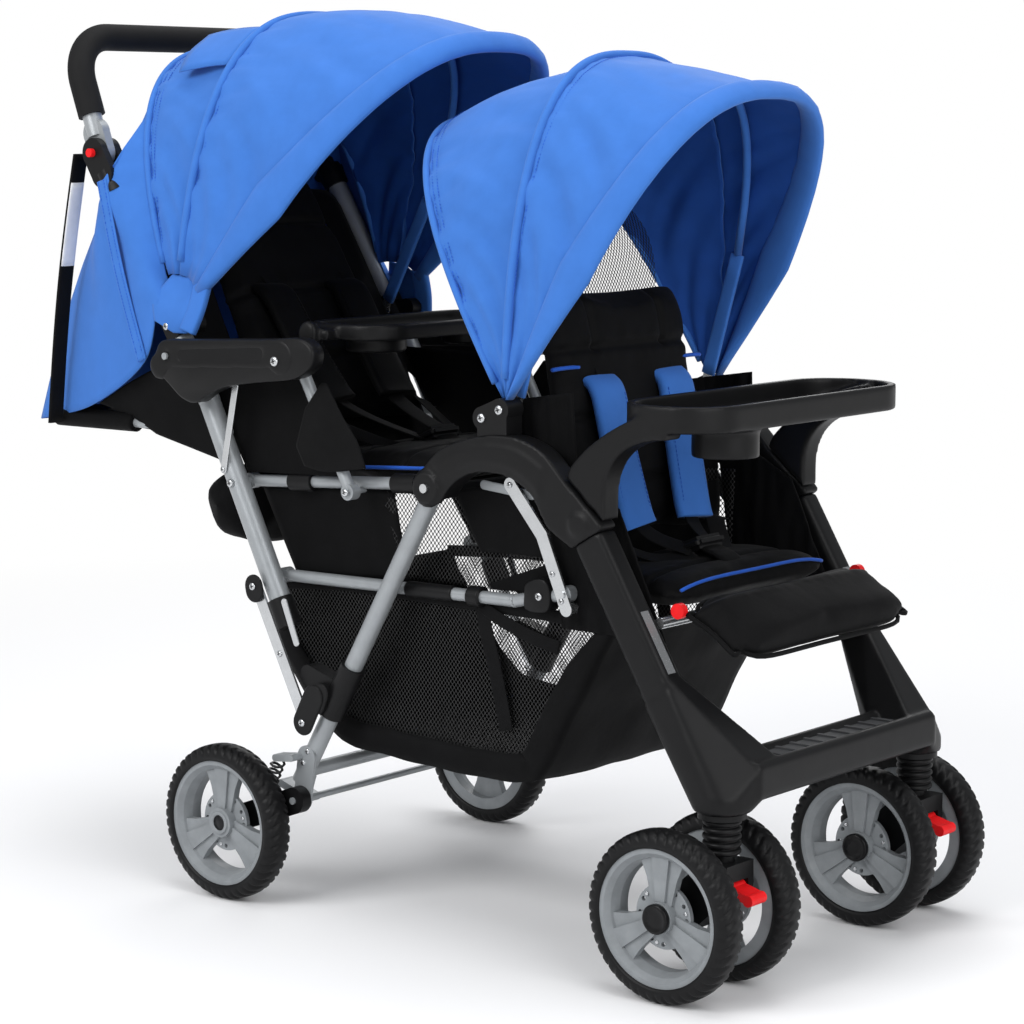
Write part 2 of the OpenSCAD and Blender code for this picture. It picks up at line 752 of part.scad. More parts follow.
module struts() color(silver) place() both_sides() difference() {
    union() {
        rod(at_side(strut_foot, -side_y), at_side(armrest_front, -side_y), strut_r);
        for (at = [strut_foot, armrest_front]) eye(at, side_y, strut_r);
    }
    for (at = [strut_foot, armrest_front])
        pin(at, -side_y - 20, -side_y + 20, small_pin_r + running_fit);
}

// Flat link that locks the pusher to the rear leg
module fold_links() color(silver) place() both_sides() difference() {
    flat(-link_y - stay_t, -link_y) bar(link_top, link_foot, stay_w);
    pin(link_top, -link_y - 9, -link_y + 9, small_pin_r + running_fit);
}

// Armrest moulding: a bar with a drooped rear shoulder and a round nose
module armrest() {
    y1 = -armrest_inner;
    y0 = y1 - armrest_t;
    difference() {
        flat(y0, y1) {
            bar(armrest_pivot + [0, 2], armrest_front + [4, 8], 34);
            bar(armrest_pivot, armrest_pivot + [-12, -12], 31);
            translate(armrest_front + [6, 4]) circle(21);
        }
        flat(y0 - 1, y0 + 3) bar(armrest_pivot + [26, 2], armrest_front + [-26, 7], 14);
        pin(armrest_pivot, y0 - 5, y1 + 5, mid_pin_r + running_fit);
    }
    pin(armrest_front, y1, -side_y + strut_r + tray_arm_t + 3, small_pin_r);
}

module armrests() color(black) place() both_sides() armrest();

tray_arm_t = 12;
tray_rim = 9;
rear_tray_y = side_y - strut_r - 2;

// Tray shape: a round-cornered dish with a raised rim
module dish(size, corner, h) difference() {
    linear_extrude(h) rounded_rect(size[0], size[1], corner);
    translate([0, 0, tray_wall]) linear_extrude(h)
        rounded_rect(size[0] - 2 * tray_rim, size[1] - 2 * tray_rim, corner - tray_rim);
}

rear_tray_size = [130, 300];
rear_tray_mid = [98, 642];

module rear_tray() color(black) place() {
    difference() {
        union() {
            translate(at_side(rear_tray_mid, 0)) dish(rear_tray_size, 48, 18);
            for (side = [-1, 1])
                translate([rear_tray_mid[0], side * rear_cup_y, rear_tray_mid[1] - cup_depth / 2])
                cylinder(h = cup_depth / 2 + tray_wall, r = cup_r + tray_wall);
            both_sides() {
                flat(-rear_tray_y, -rear_tray_y + tray_arm_t) {
                    bar(armrest_front, rear_tray_mid + [-20, 9], 24);
                }
                translate([rear_tray_mid[0] - 44, -rear_tray_y + tray_arm_t - 1, rear_tray_mid[1]])
                    cube([46, rear_tray_y - tray_arm_t - rear_tray_size[1] / 2 + 14, 12]);
            }
        }
        for (side = [-1, 1])
            translate([rear_tray_mid[0], side * rear_cup_y, rear_tray_mid[1] - cup_depth / 2 + tray_wall])
            cylinder(h = cup_depth, r = cup_r);
        both_sides() pin(armrest_front, -rear_tray_y - 5, -rear_tray_y + tray_arm_t + 5,
                         small_pin_r + running_fit);
    }
}

rear_cup_y = 84;

// Front tray: thick arms sweep up from the arch blocks and carry a wide dish
front_tray_h = 28;
front_cup_x = front_tray_mid[0] + 23;
front_cup_y = 106;
tray_button = front_leg_top + [-10, 14];
tray_arm_y = [arch_outer - 4, arch_inner - 5];
arm_top = [[464, 519], [470, 532], [486, 548], [503, 561], [526, 575], [553, 587], [588, 597]];
arm_under = [[590, 566], [565, 563], [540, 553], [524, 538], [515.5, 520], [512.6, 500], [513, 476.5]];
plug_w = 16;
plug_half = 6;
plug_len = 28;

// Line where the arm stands on the block, and the way that the tray pulls off
seat_start = arch_top[len(arch_top) - 1];
seat_mid = mix(seat_start, seat_end, 0.55);
pull_angle = atan2(seat_end[1] - seat_start[1], seat_end[0] - seat_start[0]) + 90;

module tray_plug(room) flat(-side_y - plug_half - room, -side_y + plug_half + room)
    translate(seat_mid) rotate(pull_angle)
        translate([-plug_len - 2 * room, -plug_w / 2 - room]) square([plug_len + 12, plug_w + 2 * room]);

module tray_arm() {
    flat(-tray_arm_y[0], -tray_arm_y[1]) polygon(concat(spline(arm_top, 3), spline(arm_under, 3)));
    tray_plug(0);
    // Shoulder that ties the arm to the floor of the dish
    translate([front_tray_mid[0] - 30, -tray_arm_y[0] + 6, front_tray_mid[1] + 1])
        cube([40, tray_arm_y[0] - 6 - front_tray_size[1] / 2 + 40, tray_wall + 6]);
}

module front_tray() color(black) place() difference() {
    union() {
        translate([front_tray_mid[0], 0, front_tray_mid[1]])
            dish(front_tray_size, 60, front_tray_h);
        translate([front_cup_x, -front_cup_y, front_tray_mid[1] + tray_wall - cup_depth])
            cylinder(h = cup_depth, r = cup_r + tray_wall);
        both_sides() tray_arm();
    }
    translate([front_cup_x, -front_cup_y, front_tray_mid[1] + 2 * tray_wall - cup_depth])
        cylinder(h = cup_depth + 1, r = cup_r);
}

// Pusher

pusher_path = [pusher_foot, pusher_bend, pusher_top];

module pusher_tubes() color(silver) place() both_sides() {
    difference() {
        union() {
            for (k = [0 : 1])
                rod(at_side(pusher_path[k], -side_y), at_side(pusher_path[k + 1], -side_y), pusher_r);
            translate(at_side(pusher_bend, -side_y)) sphere(pusher_r + bend_swell);
        }
        pin(pusher_pivot, -side_y - 30, -side_y + 30, hole_r);
    }
    pin(armrest_pivot, -side_y - pusher_r + 3, -armrest_inner - armrest_t - 2, mid_pin_r);
    pin(link_top, -side_y - pusher_r + 3, -link_y - stay_t - 3, small_pin_r);
}

joint_half = 15;

// Lower halves of the handle joints, and the plugs in the feet of the tubes
module pusher_fittings() color(black) place() both_sides() {
    release_housing();
    along = unit(pusher_foot - pusher_bend);
    difference() {
        rod(at_side(pusher_foot - 14 * along, -side_y), at_side(pusher_foot + 20 * along, -side_y),
            pusher_r + 2);
        rod(at_side(pusher_foot - 40 * along, -side_y), at_side(pusher_foot, -side_y), pusher_r);
    }
    difference() {
        union() {
            rod(at_side(pusher_top - 28 * pusher_dir, -side_y), at_side(pusher_top, -side_y), pusher_r + 4);
            flat(-side_y - joint_half, -side_y - joint_half + 9)
                bar(pusher_top - 2 * pusher_dir, handle_pivot, 2 * joint_r);
            flat(-side_y + joint_half - 9, -side_y + joint_half)
                bar(pusher_top - 2 * pusher_dir, handle_pivot, 2 * joint_r);
        }
        rod(at_side(pusher_top - 80 * pusher_dir, -side_y), at_side(pusher_top, -side_y), pusher_r);
        pin(handle_pivot, -side_y - joint_half - 9, -side_y, hole_r);
        flat(-side_y - joint_half + 9, -side_y + joint_half - 9)
            translate(handle_pivot) circle(joint_r + 7);
    }
    pin(handle_pivot, -side_y - joint_half + 11, -side_y + joint_half - 9, pin_r);
}

// U-shaped tube behind the rear seat, clamped to the pusher
deck_front = [-49, 530];
deck_rear = [-360, 528];
deck_half = side_y - pusher_r - 12;

module deck_frame() color(silver) place() {
    r = 6;
    both_sides() {
        rod(at_side(deck_front, -deck_half), at_side(deck_rear + [40, 0], -deck_half), r);
        translate(at_side(deck_rear + [40, 0], -deck_half + 40)) rotate(180)
            rotate_extrude(angle = 90) translate([40, 0]) circle(r);
        difference() {
            pin(deck_front, -deck_half + r + 1, -side_y, r + 1);
            rod(at_side(pusher_foot, -side_y), at_side(pusher_bend, -side_y), pusher_r);
        }
    }
    rod(at_side(deck_rear, -deck_half + 40), at_side(deck_rear, deck_half - 40), r);
}

drop_top = [-224, 958];
drop_half = [150, 158];
drop_fall = [-70, 250];
drop_bow_half = 186;

// The top edge follows the rear bow of the canopy, which is lower at the sides
function drop_head(v) = let (across = drop_half[0] * v / drop_bow_half, rise = sqrt(1 - across * across))
    drop_top - drop_fall * (1 - rise);

function drop_grid(off, rows, cols) = [
    for (i = [0 : rows - 1]) let (t = i / (rows - 1), w = mix(drop_half[0], drop_half[1], t))
        [for (j = [0 : cols - 1]) let (v = -1 + 2 * j / (cols - 1), head = drop_head(v),
                                      belly = 22 * sin(180 * t) - 3 * t * (1 - cos(720 * v)))
            [mix(head[0], drop_foot[0], t) - belly - off, w * v, mix(head[1], drop_foot[1], t)]]
];

module back_drop() color(blue) place() between(drop_grid(0, 9, 17), drop_grid(-4, 9, 17));

strap_w = 20;
strap_t = 2;

module wrist_strap() color(cloth) place() {
    top = [pusher_top[0] - 19, pusher_top[1] - 14];
    foot = drop_foot + [62, 12];
    translate([0, -side_y - strap_w / 2, 0]) flat(0, strap_w) bar(top, foot, strap_t * 2);
}

// Buttons behind the pusher that free the fold, and the housings that they slide into
release_at = pusher_bend + 21 * unit(pusher_top - pusher_bend);
release_r = 6;
release_back = 34;

module fold_release_buttons() color(red) place() both_sides()
    rod(at_side(release_at + [-release_back - 8, 0], -side_y),
        at_side(release_at + [-release_back + 6, 0], -side_y),
        release_r);

module release_housing() difference() {
    flat(-side_y - 9, -side_y + 9) bar(release_at + [-9, 0], release_at + [-release_back + 9, 0], 18);
    rod(at_side(release_at + [-release_back - 20, 0], -side_y),
        at_side(release_at + [-release_back + 11, 0], -side_y),
        release_r + running_fit);
    rod(at_side(pusher_bend - 40 * pusher_dir, -side_y), at_side(pusher_top, -side_y),
        pusher_r + bend_swell + running_fit);
}

// Handle

handle_half = side_y;
handle_dir = unit([handle_x - handle_pivot[0], handle_z - handle_pivot[1]]);
handle_tilt = atan2(-handle_dir[0], handle_dir[1]);
handle_rise = norm([handle_x - handle_pivot[0], handle_z - handle_pivot[1]]);
grip_from = 46;
handle_tube_r = pusher_r - 1;

// Draws in the plane of the handle: x is along the crossbar, y is up the arms
module in_handle_plane() translate([handle_pivot[0], 0, handle_pivot[1]])
    rotate([90 - handle_tilt, 0, 90]) rotate([0, 0, 0]) children();

module handle_line(from, r) {
    for (side = [-1, 1]) {
        translate([side * handle_half, from, 0]) rotate([-90, 0, 0])
            cylinder(h = handle_rise - handle_corner_r - from, r = r);
        translate([side * (handle_half - handle_corner_r), handle_rise - handle_corner_r, 0])
            rotate(side > 0 ? 0 : 90) rotate_extrude(angle = 90)
                translate([handle_corner_r, 0]) circle(r);
    }
    translate([-handle_half + handle_corner_r, handle_rise, 0]) rotate([0, 90, 0])
        cylinder(h = 2 * (handle_half - handle_corner_r), r = r);
}

module handle_tube() color(silver) place() {
    in_handle_plane() for (side = [-1, 1]) translate([side * handle_half, 20, 0])
        rotate([-90, 0, 0]) cylinder(h = grip_from - 20, r = handle_tube_r);
    both_sides() difference() {
        flat(-side_y - joint_half + 9 + clearance, -side_y + joint_half - 9 - clearance)
            bar(handle_pivot, handle_pivot + 24 * handle_dir, 2 * joint_r);
        pin(handle_pivot, -side_y - 20, -side_y + 20, hole_r);
    }
}

module handle_grip() color(black) place() in_handle_plane() handle_line(grip_from, grip_d / 2);

module handle_button(side) color(red) place()
    pin(handle_pivot, side * (side_y + joint_half - 5), side * (side_y + joint_half + 6), pin_r);

// Rear frame

module rear_legs() color(silver) place() {
    both_sides() {
        difference() {
            union() {
                rod(at_side(arch_pivot, -side_y), at_side(leg_foot, -side_y), leg_r);
                eye(arch_pivot, side_y, leg_r);
            }
            pin(arch_pivot, -side_y - 20, -side_y + 20, hole_r);
        }
        difference() {
            flat(-side_y - leg_r - 0.2, -side_y - leg_r + 3) bar(arm_pivot, leg_foot + [18, 31], 26);
            rod(at_side(arch_pivot, -side_y), at_side(leg_foot, -side_y), leg_r);
        }
        pin(arm_pivot, -side_y - leg_r + 3, -side_y - leg_r - 17, mid_pin_r);
        flat(-side_y - leg_r - 16, -side_y - leg_r - 0.2) bar(spring_top + [2, 6], leg_foot + [8, 31], 8);
    }
    rod(at_side(cross_at, -side_y), at_side(cross_at, side_y), 8);
    both_sides() difference() {
        flat(-side_y + leg_r - 4, -side_y + leg_r + 5) bar(leg_foot + [1, 4], brake_at, 16);
        pin(brake_at, -side_y, -side_y + 30, brake_r + running_fit);
        rod(at_side(arch_pivot, -side_y), at_side(leg_foot, -side_y), leg_r - 1);
    }
}

cross_at = [80, 152];
spring_top = [55, 162];
spring_foot = [38, 126];

latch_share = 0.317;

// Sockets on the rear legs that receive the plugs of the pusher
module latch_brackets() color(black) place() both_sides() {
    t = unit(arch_pivot - leg_foot);
    at = mix(leg_foot, arch_pivot, latch_share);
    difference() {
        union() {
            rod(at_side(at - 34 * t, -side_y), at_side(at + 34 * t, -side_y), leg_r + 4);
            flat(-side_y - 10, -side_y + 10) {
                bar(at, at + [-44, 14], 22);
                bar(at + [-20, -20], at + [-44, 14], 18);
            }
        }
        rod(at_side(at - 60 * t, -side_y), at_side(at + 60 * t, -side_y), leg_r);
    }
}

// Coil of round wire between two side-frame places
curls = 5;
rings_per_curl = 8;
wire_r = 1.6;
coil_r = 7.5;

function coil_points(a, b, y) = let (axis = unit(at_side(b, y) - at_side(a, y)), side = [0, 1, 0],
                                    up = cross(axis, side), n = curls * rings_per_curl) [
    for (k = [0 : n]) let (t = k / n, w = 360 * curls * t)
        mix(at_side(a, y), at_side(b, y), t) + coil_r * (cos(w) * side + sin(w) * up)];

function ring(p, dir, r) = let (u = unit(cross(dir, [0.3, 0.2, 1])), v = cross(dir, u))
    [for (k = [0 : 5]) p + r * (cos(60 * k) * u + sin(60 * k) * v)];

module wire(points) {
    n = len(points);
    rings = [for (i = [0 : n - 1]) ring(points[i],
        unit(points[min(i + 1, n - 1)] - points[max(i - 1, 0)]), wire_r)];
    pts = [for (r = rings) each r];
    sides = [for (i = [0 : n - 2], k = [0 : 5]) let (a = i * 6 + k, b = i * 6 + (k + 1) % 6)
        each [[a, b, b + 6], [a, b + 6, a + 6]]];
    caps = concat([for (k = [1 : 4]) [0, k + 1, k]],
                  [for (k = [1 : 4]) [(n - 1) * 6, (n - 1) * 6 + k, (n - 1) * 6 + k + 1]]);
    faces = concat(sides, caps);
    turned = volume6(pts, faces) > 0 ? [for (f = faces) [f[0], f[2], f[1]]] : faces;
    polyhedron(pts, turned);
}

spring_y = side_y + leg_r + 8;
spring_line = coil_points(spring_top, spring_foot, -spring_y);
coil_gap = min([for (i = [0 : len(spring_line) - 1], j = [0 : len(spring_line) - 1])
    if (j - i > rings_per_curl / 2) norm(spring_line[i] - spring_line[j])]) - 2 * wire_r;
echo(least_gap_of_the_coil = coil_gap);

module rear_springs() color([0.25, 0.25, 0.27]) place() both_sides() wire(spring_line);

arm_y = side_y + leg_r + 1;
arm_t = 14;

module rear_arm(side) color(black) place() difference() {
    union() {
        flat(side * arm_y, side * (arm_y + arm_t)) {
            bar(arm_pivot, [0, wheel_r], 30);
            translate(spring_foot + [-11, -24]) square([22, 18]);
        }
        pin([0, wheel_r], side * arm_y, side * (rear_wheel_y + 12), axle_d / 2);
    }
    pin(arm_pivot, side * (arm_y - 5), side * (arm_y + arm_t + 5), mid_pin_r + running_fit);
}

// Brake bar across the rear, with a pedal by each wheel
brake_at = [64, 114];
brake_r = 4;

module brake_bar() color(silver) place() {
    rod(at_side(brake_at, -side_y + leg_r - 3), at_side(brake_at, side_y - leg_r + 3), brake_r);
    both_sides() flat(-side_y + leg_r + 6, -side_y + leg_r + 26)
        bar(brake_at, brake_at + [-40, 12], 9);
}

// Basket

// Places along the stroller, with the height of the floor and of the top edge there
basket_line = [[112, 250, 366], [136, 202, 366], [284, 186, 366],
               [394, 183, 366], [404, 215, 364], [440, 330, 356]];
basket_half_w = rail_y - rail_r - clearance;

module basket_block(in, lift, head) {
    w = basket_half_w - in;
    for (k = [0 : len(basket_line) - 2]) {
        a = basket_line[k];
        b = basket_line[k + 1];
        flat(-w, w) polygon([[a[0], a[1] + lift], [b[0], b[1] + lift],
                             [b[0], b[2] + head], [a[0], a[2] + head]]);
    }
}

module basket() color(cloth) place() difference() {
    basket_block(0, 0, 0);
    intersection() {
        basket_block(basket_t, basket_t, 2 * basket_t);
        translate([basket_line[0][0] + basket_t, -side_y, 0])
            cube([basket_line[5][0] - basket_line[0][0] - 2 * basket_t, 2 * side_y, handle_z]);
    }
}

front_legs();
footboard();
arches();
frame_steelwork();
reflectors();
front_canopy_brackets();
front_canopy_rear();
front_seat_pad();
basket();
front_backrest();
calf_rest();
calf_rest_button(-1);  // calf_rest_button_right
calf_rest_button(1);  // calf_rest_button_left
front_tray();
front_canopy_visor();
front_canopy_stays();
seat_rails();
rail_brackets();
rear_seat_pad();
lower_rails();
pusher_tubes();
pusher_fittings();
rear_canopy_brackets();
rear_canopy_rear();
back_drop();
deck_frame();
wrist_strap();
fold_release_buttons();
handle_tube();
handle_grip();
handle_button(-1);  // handle_button_right
handle_button(1);  // handle_button_left
rear_canopy_visor();
rear_canopy_stays();
rear_backrest();
armrests();
rear_tray();
struts();
fold_links();
rear_legs();
latch_brackets();
rear_springs();
brake_bar();
rear_arm(-1);  // rear_arm_right
rear_arm(1);  // rear_arm_left
rear_rim(-1);  // rear_rim_right
rear_rim(1);  // rear_rim_left
rear_tyre(-1);  // rear_tyre_right
rear_tyre(1);  // rear_tyre_left
caster_housing(-1);  // caster_housing_right
caster_housing(1);  // caster_housing_left
caster_fork(-1);  // caster_fork_right
caster_fork(1);  // caster_fork_left
caster_lever(-1);  // caster_lever_right
caster_lever(1);  // caster_lever_left
front_rims(-1);  // front_rims_right
front_rims(1);  // front_rims_left
front_tyres(-1);  // front_tyres_right
front_tyres(1);  // front_tyres_left
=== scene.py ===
"""Looks of the tandem stroller, in the frame of its CAD solids.

Lengths in the code are millimetres, forward from the rear axle, from the middle plane and up from the floor.
"""
import json
import math

import bmesh
import bpy
import numpy as np
from mathutils import Matrix, Vector, noise


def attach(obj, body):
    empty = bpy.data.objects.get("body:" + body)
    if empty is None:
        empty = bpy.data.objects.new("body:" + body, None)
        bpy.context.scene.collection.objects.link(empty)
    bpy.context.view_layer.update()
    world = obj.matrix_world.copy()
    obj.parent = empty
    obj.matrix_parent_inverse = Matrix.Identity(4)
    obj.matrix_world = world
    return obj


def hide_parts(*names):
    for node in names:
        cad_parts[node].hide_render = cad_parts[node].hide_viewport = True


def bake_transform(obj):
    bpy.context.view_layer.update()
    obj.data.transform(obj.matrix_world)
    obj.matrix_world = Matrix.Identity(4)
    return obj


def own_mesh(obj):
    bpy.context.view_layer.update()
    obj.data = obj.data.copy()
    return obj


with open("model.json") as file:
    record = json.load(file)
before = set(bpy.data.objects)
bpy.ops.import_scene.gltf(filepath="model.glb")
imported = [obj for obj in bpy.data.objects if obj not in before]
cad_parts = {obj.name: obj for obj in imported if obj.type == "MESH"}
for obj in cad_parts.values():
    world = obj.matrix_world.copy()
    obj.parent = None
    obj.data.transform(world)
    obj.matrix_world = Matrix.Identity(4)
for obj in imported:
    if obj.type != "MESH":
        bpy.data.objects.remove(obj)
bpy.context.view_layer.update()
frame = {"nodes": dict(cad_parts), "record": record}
nodes = frame["nodes"]
scene = bpy.context.scene
# x of the frame's origin in the lengths used here
MID = 160.5
BODY_OF = {n: b for b, ns in frame["record"]["behaviour"]["bodies"].items() for n in ns}
SIDES = ((-1, "r"), (1, "l"))


def V(x, y, z):
    return Vector(((x - MID) / 1000, y / 1000, z / 1000))


def mix(a, b, t):
    return a + (b - a) * t


def smooth_step(a, b, x):
    t = min(1.0, max(0.0, (x - a) / (b - a)))
    return t * t * (3 - 2 * t)


def ripple(p, size, seed=0.0):
    """Smooth noise from -1 to 1 with features of that size, in mm."""
    return noise.noise(Vector((p[0] / size + seed, p[1] / size - seed, p[2] / size + 2 * seed)))


# Camera at the photograph's view
cam_data = bpy.data.cameras.new("camera")
cam_data.lens = 100.13
cam_data.sensor_width = 36
cam_data.sensor_fit = "HORIZONTAL"
cam_data.clip_end = 100
cam = bpy.data.objects.new("camera", cam_data)
scene.collection.objects.link(cam)
cam.location = (2.11339, -2.49311, 0.88382)
aim = Vector((0.06914, 0, 0.44228)) - cam.location
cam.rotation_euler = aim.to_track_quat("-Z", "Y").to_euler()
scene.camera = cam


# Materials

def srgb(r, g, b):
    def lin(c):
        c /= 255
        return c / 12.92 if c <= 0.04045 else ((c + 0.055) / 1.055) ** 2.4
    return (lin(r), lin(g), lin(b), 1)


def add_node(tree, kind, inputs=(), **props):
    """New shader node with its properties set and its inputs set or linked."""
    n = tree.nodes.new(kind)
    for k, v in props.items():
        setattr(n, k, v)
    for k, v in dict(inputs).items():
        if isinstance(v, bpy.types.NodeSocket):
            tree.links.new(v, n.inputs[k])
        else:
            n.inputs[k].default_value = v
    return n


class Shader:
    """One procedural material: a Principled surface with layers of bump and colour variation."""

    def __init__(self, name, colour, rough, metal=0.0):
        self.mat = bpy.data.materials.new(name)
        self.mat.use_nodes = True
        self.tree = self.mat.node_tree
        self.bsdf = self.tree.nodes["Principled BSDF"]
        self.set("Base Color", colour)
        self.set("Roughness", rough)
        self.set("Metallic", metal)
        self.mat.diffuse_color = colour
        self.coord = self.tree.nodes.new("ShaderNodeTexCoord").outputs["Object"]
        self.normal = None

    def set(self, socket, value):
        self.bsdf.inputs[socket].default_value = value
        return self

    def node(self, kind, inputs=(), **props):
        return add_node(self.tree, kind, inputs, **props)

    def to_surface(self, a, socket):
        self.tree.links.new(a, self.bsdf.inputs[socket])

    def noise(self, scale, detail=3.0, rough=0.55):
        inputs = {"Scale": scale, "Detail": detail, "Roughness": rough, "Vector": self.coord}
        return self.node("ShaderNodeTexNoise", inputs).outputs[0]

    def bands(self, scale, direction):
        inputs = {"Scale": scale, "Distortion": 0.4, "Vector": self.coord}
        n = self.node("ShaderNodeTexWave", inputs, wave_type="BANDS", bands_direction=direction)
        return n.outputs["Fac"]

    def math(self, op, a, b):
        return self.node("ShaderNodeMath", {0: a, 1: b}, operation=op).outputs[0]

    def bump(self, height, strength, distance):
        inputs = {"Strength": strength, "Distance": distance, "Height": height}
        if self.normal is not None:
            inputs["Normal"] = self.normal
        self.normal = self.node("ShaderNodeBump", inputs).outputs["Normal"]
        self.to_surface(self.normal, "Normal")
        return self

    def vary(self, height, dark, light):
        n = self.node("ShaderNodeValToRGB", {"Fac": height})
        for e, position, colour in zip(n.color_ramp.elements, (0.3, 0.7), (dark, light)):
            e.position = position
            e.color = colour
        self.to_surface(n.outputs["Color"], "Base Color")
        return self

    def vary_rough(self, height, low, high):
        n = self.node("ShaderNodeMapRange", {"To Min": low, "To Max": high, "Value": height})
        self.to_surface(n.outputs[0], "Roughness")
        return self


def shade(c, f):
    return (c[0] * f, c[1] * f, c[2] * f, 1)


def fabric(name, colour, rough, pitch, sheen, crease, spread=0.08):
    """Plain-weave polyester: threads of the given pitch in mm, creases, and faint mottling."""
    s = Shader(name, colour, rough)
    s.set("Sheen Weight", sheen).set("Sheen Roughness", 0.45).set("Specular IOR Level", 0.08)
    s.vary(s.noise(38, 3), shade(colour, 1 - spread), shade(colour, 1 + spread))
    scale = 0.314 / (pitch / 1000)
    weave = s.math("MAXIMUM", s.bands(scale, "DIAGONAL"), s.bands(scale, "Z"))
    s.bump(weave, 0.22, 0.0002)
    s.bump(s.noise(24, 4, 0.5), crease, 0.004)
    return s.mat


def plastic(name, colour, rough, grain=0.12, scale=900):
    """Moulded plastic with a fine spark-eroded grain and slightly uneven gloss."""
    s = Shader(name, colour, rough)
    s.set("Specular IOR Level", 0.18)
    s.vary(s.noise(60, 3), shade(colour, 0.92), shade(colour, 1.1))
    s.vary_rough(s.noise(45, 4), rough - 0.05, rough + 0.06)
    s.bump(s.noise(scale, 2), grain, 0.0002)
    return s.mat


def metal(name, colour, rough, metallic):
    s = Shader(name, colour, rough, metallic)
    s.vary(s.noise(50, 3), shade(colour, 0.95), shade(colour, 1.05))
    s.vary_rough(s.noise(160, 4), rough - 0.05, rough + 0.07)
    s.bump(s.noise(1400, 2), 0.05, 0.0001)
    return s.mat


BLUE = fabric("blue_polyester", srgb(60, 111, 188), 0.8, 0.55, 0.1, 0.12, 0.04)
# Darker copy of the blue for the inner faces of the canopies and the blue drops: painted shade on the side
# turned away from the light.
BLUE_PAINTED_SHADE = fabric("blue_polyester_painted_shade", srgb(36, 78, 156), 0.7, 0.55, 0.03, 0.12, 0.06)
PIPING = fabric("blue_piping_cloth", srgb(38, 88, 186), 0.7, 0.5, 0.1, 0.03)
CLOTH = fabric("black_polyester", srgb(11, 11, 12), 0.66, 0.5, 0.02, 0.24, 0.2)
LINING = fabric("black_side_cloth", srgb(8, 8, 9), 0.72, 0.6, 0.02, 0.3, 0.2)
WEB = fabric("black_webbing", srgb(14, 14, 15), 0.72, 1.4, 0.02, 0.04, 0.2)
PLASTIC = plastic("black_moulding", srgb(17, 17, 18), 0.42)
PLASTIC_GLOSS = plastic("black_moulding_smooth", srgb(17, 17, 18), 0.28, 0.05)
FOAM = plastic("foam_grip", srgb(18, 18, 19), 0.72, 0.5, 1500)
RED = plastic("red_moulding", srgb(222, 26, 30), 0.35, 0.06)
WHEEL = plastic("wheel_grey", srgb(132, 136, 139), 0.38, 0.06)
RUBBER = plastic("tyre_rubber", srgb(17, 17, 18), 0.45, 0.12, 700)
TREAD = plastic("tread_grey", srgb(70, 71, 73), 0.6, 0.3, 500)
TUBE = metal("silver_paint", srgb(150, 154, 157), 0.36, 0.35)
STEEL = metal("bright_steel", srgb(196, 198, 200), 0.24, 0.9)
# Black steel of the springs; the same dark material paints the shade of the screw recesses and of the rear
# hub sockets.
BLACK_STEEL_AND_SHADE = metal("black_spring_steel_and_painted_shade", srgb(30, 30, 32), 0.35, 0.6)
PATCH = fabric("pale_patch", srgb(222, 222, 222), 0.8, 0.6, 0.05, 0.03)


def reflector_material():
    s = Shader("reflective_strip", srgb(196, 198, 200), 0.3, 0.2)
    n = s.node("ShaderNodeTexVoronoi", {"Scale": 420, "Vector": s.coord}, feature="DISTANCE_TO_EDGE")
    s.vary(n.outputs["Distance"], srgb(120, 122, 124), srgb(214, 216, 218))
    s.bump(n.outputs["Distance"], 0.4, 0.0004)
    return s.mat


def net_material(name, pitch, line, colour):
    """See-through knitted net: rows of rhombic holes laid out on the cloth's own coordinates, in metres."""
    s = Shader(name, colour, 0.6)
    part = s.node("ShaderNodeSeparateXYZ", {0: s.node("ShaderNodeUVMap").outputs["UV"]})
    k = math.pi / (pitch / 1000)
    u = s.math("MULTIPLY", part.outputs["X"], k)
    v = s.math("MULTIPLY", part.outputs["Y"], k * 0.8)
    a = s.math("SINE", s.math("ADD", u, v), 0)
    b = s.math("SINE", s.math("SUBTRACT", u, v), 0)
    height = s.math("ABSOLUTE", s.math("MULTIPLY", a, b), 0)
    s.to_surface(s.math("LESS_THAN", height, line), "Alpha")
    s.vary(s.noise(80, 2), shade(colour, 0.8), shade(colour, 1.2))
    return s.mat


REFLECT = reflector_material()
NET = net_material("black_net", 5.2, 0.2, srgb(14, 14, 15))

BY_SLOT = {"black_plastic": PLASTIC, "silver_tube": TUBE, "steel": STEEL, "wheel_grey": WHEEL, "tyre": RUBBER,
           "red_plastic": RED, "blue_fabric": BLUE, "black_fabric": CLOTH, "foam_grip": FOAM,
           "reflector": REFLECT}
SLOT_OF = {s["node"]: s["material_slot"] for s in frame["record"]["subparts"]}
for name, o in nodes.items():
    o.data.materials.clear()
    o.data.materials.append(BY_SLOT[SLOT_OF[name]])
nodes["footboard"].data.materials[0] = TREAD
nodes["rear_springs"].data.materials[0] = BLACK_STEEL_AND_SHADE


# Building blocks

def obj_from(name, verts, faces, mat, smooth=True, uvs=None):
    """Piece from points in mm, with its faces turned out."""
    me = bpy.data.meshes.new(name)
    me.from_pydata([V(*v) for v in verts], [], faces)
    bm = bmesh.new()
    bm.from_mesh(me)
    bmesh.ops.recalc_face_normals(bm, faces=bm.faces)
    bm.to_mesh(me)
    bm.free()
    me.update()
    o = bpy.data.objects.new(name, me)
    scene.collection.objects.link(o)
    me.materials.append(mat)
    me.polygons.foreach_set("use_smooth", [smooth] * len(me.polygons))
    if uvs is not None:
        layer = me.uv_layers.new(name="UVMap")
        for loop in me.loops:
            layer.data[loop.index].uv = uvs[loop.vertex_index]
    return o


def applied(o):
    """Bakes the modifiers of a piece into its mesh."""
    dg = bpy.context.evaluated_depsgraph_get()
    me = bpy.data.meshes.new_from_object(o.evaluated_get(dg))
    o.modifiers.clear()
    old = o.data
    o.data = me
    bpy.data.meshes.remove(old)
    return o


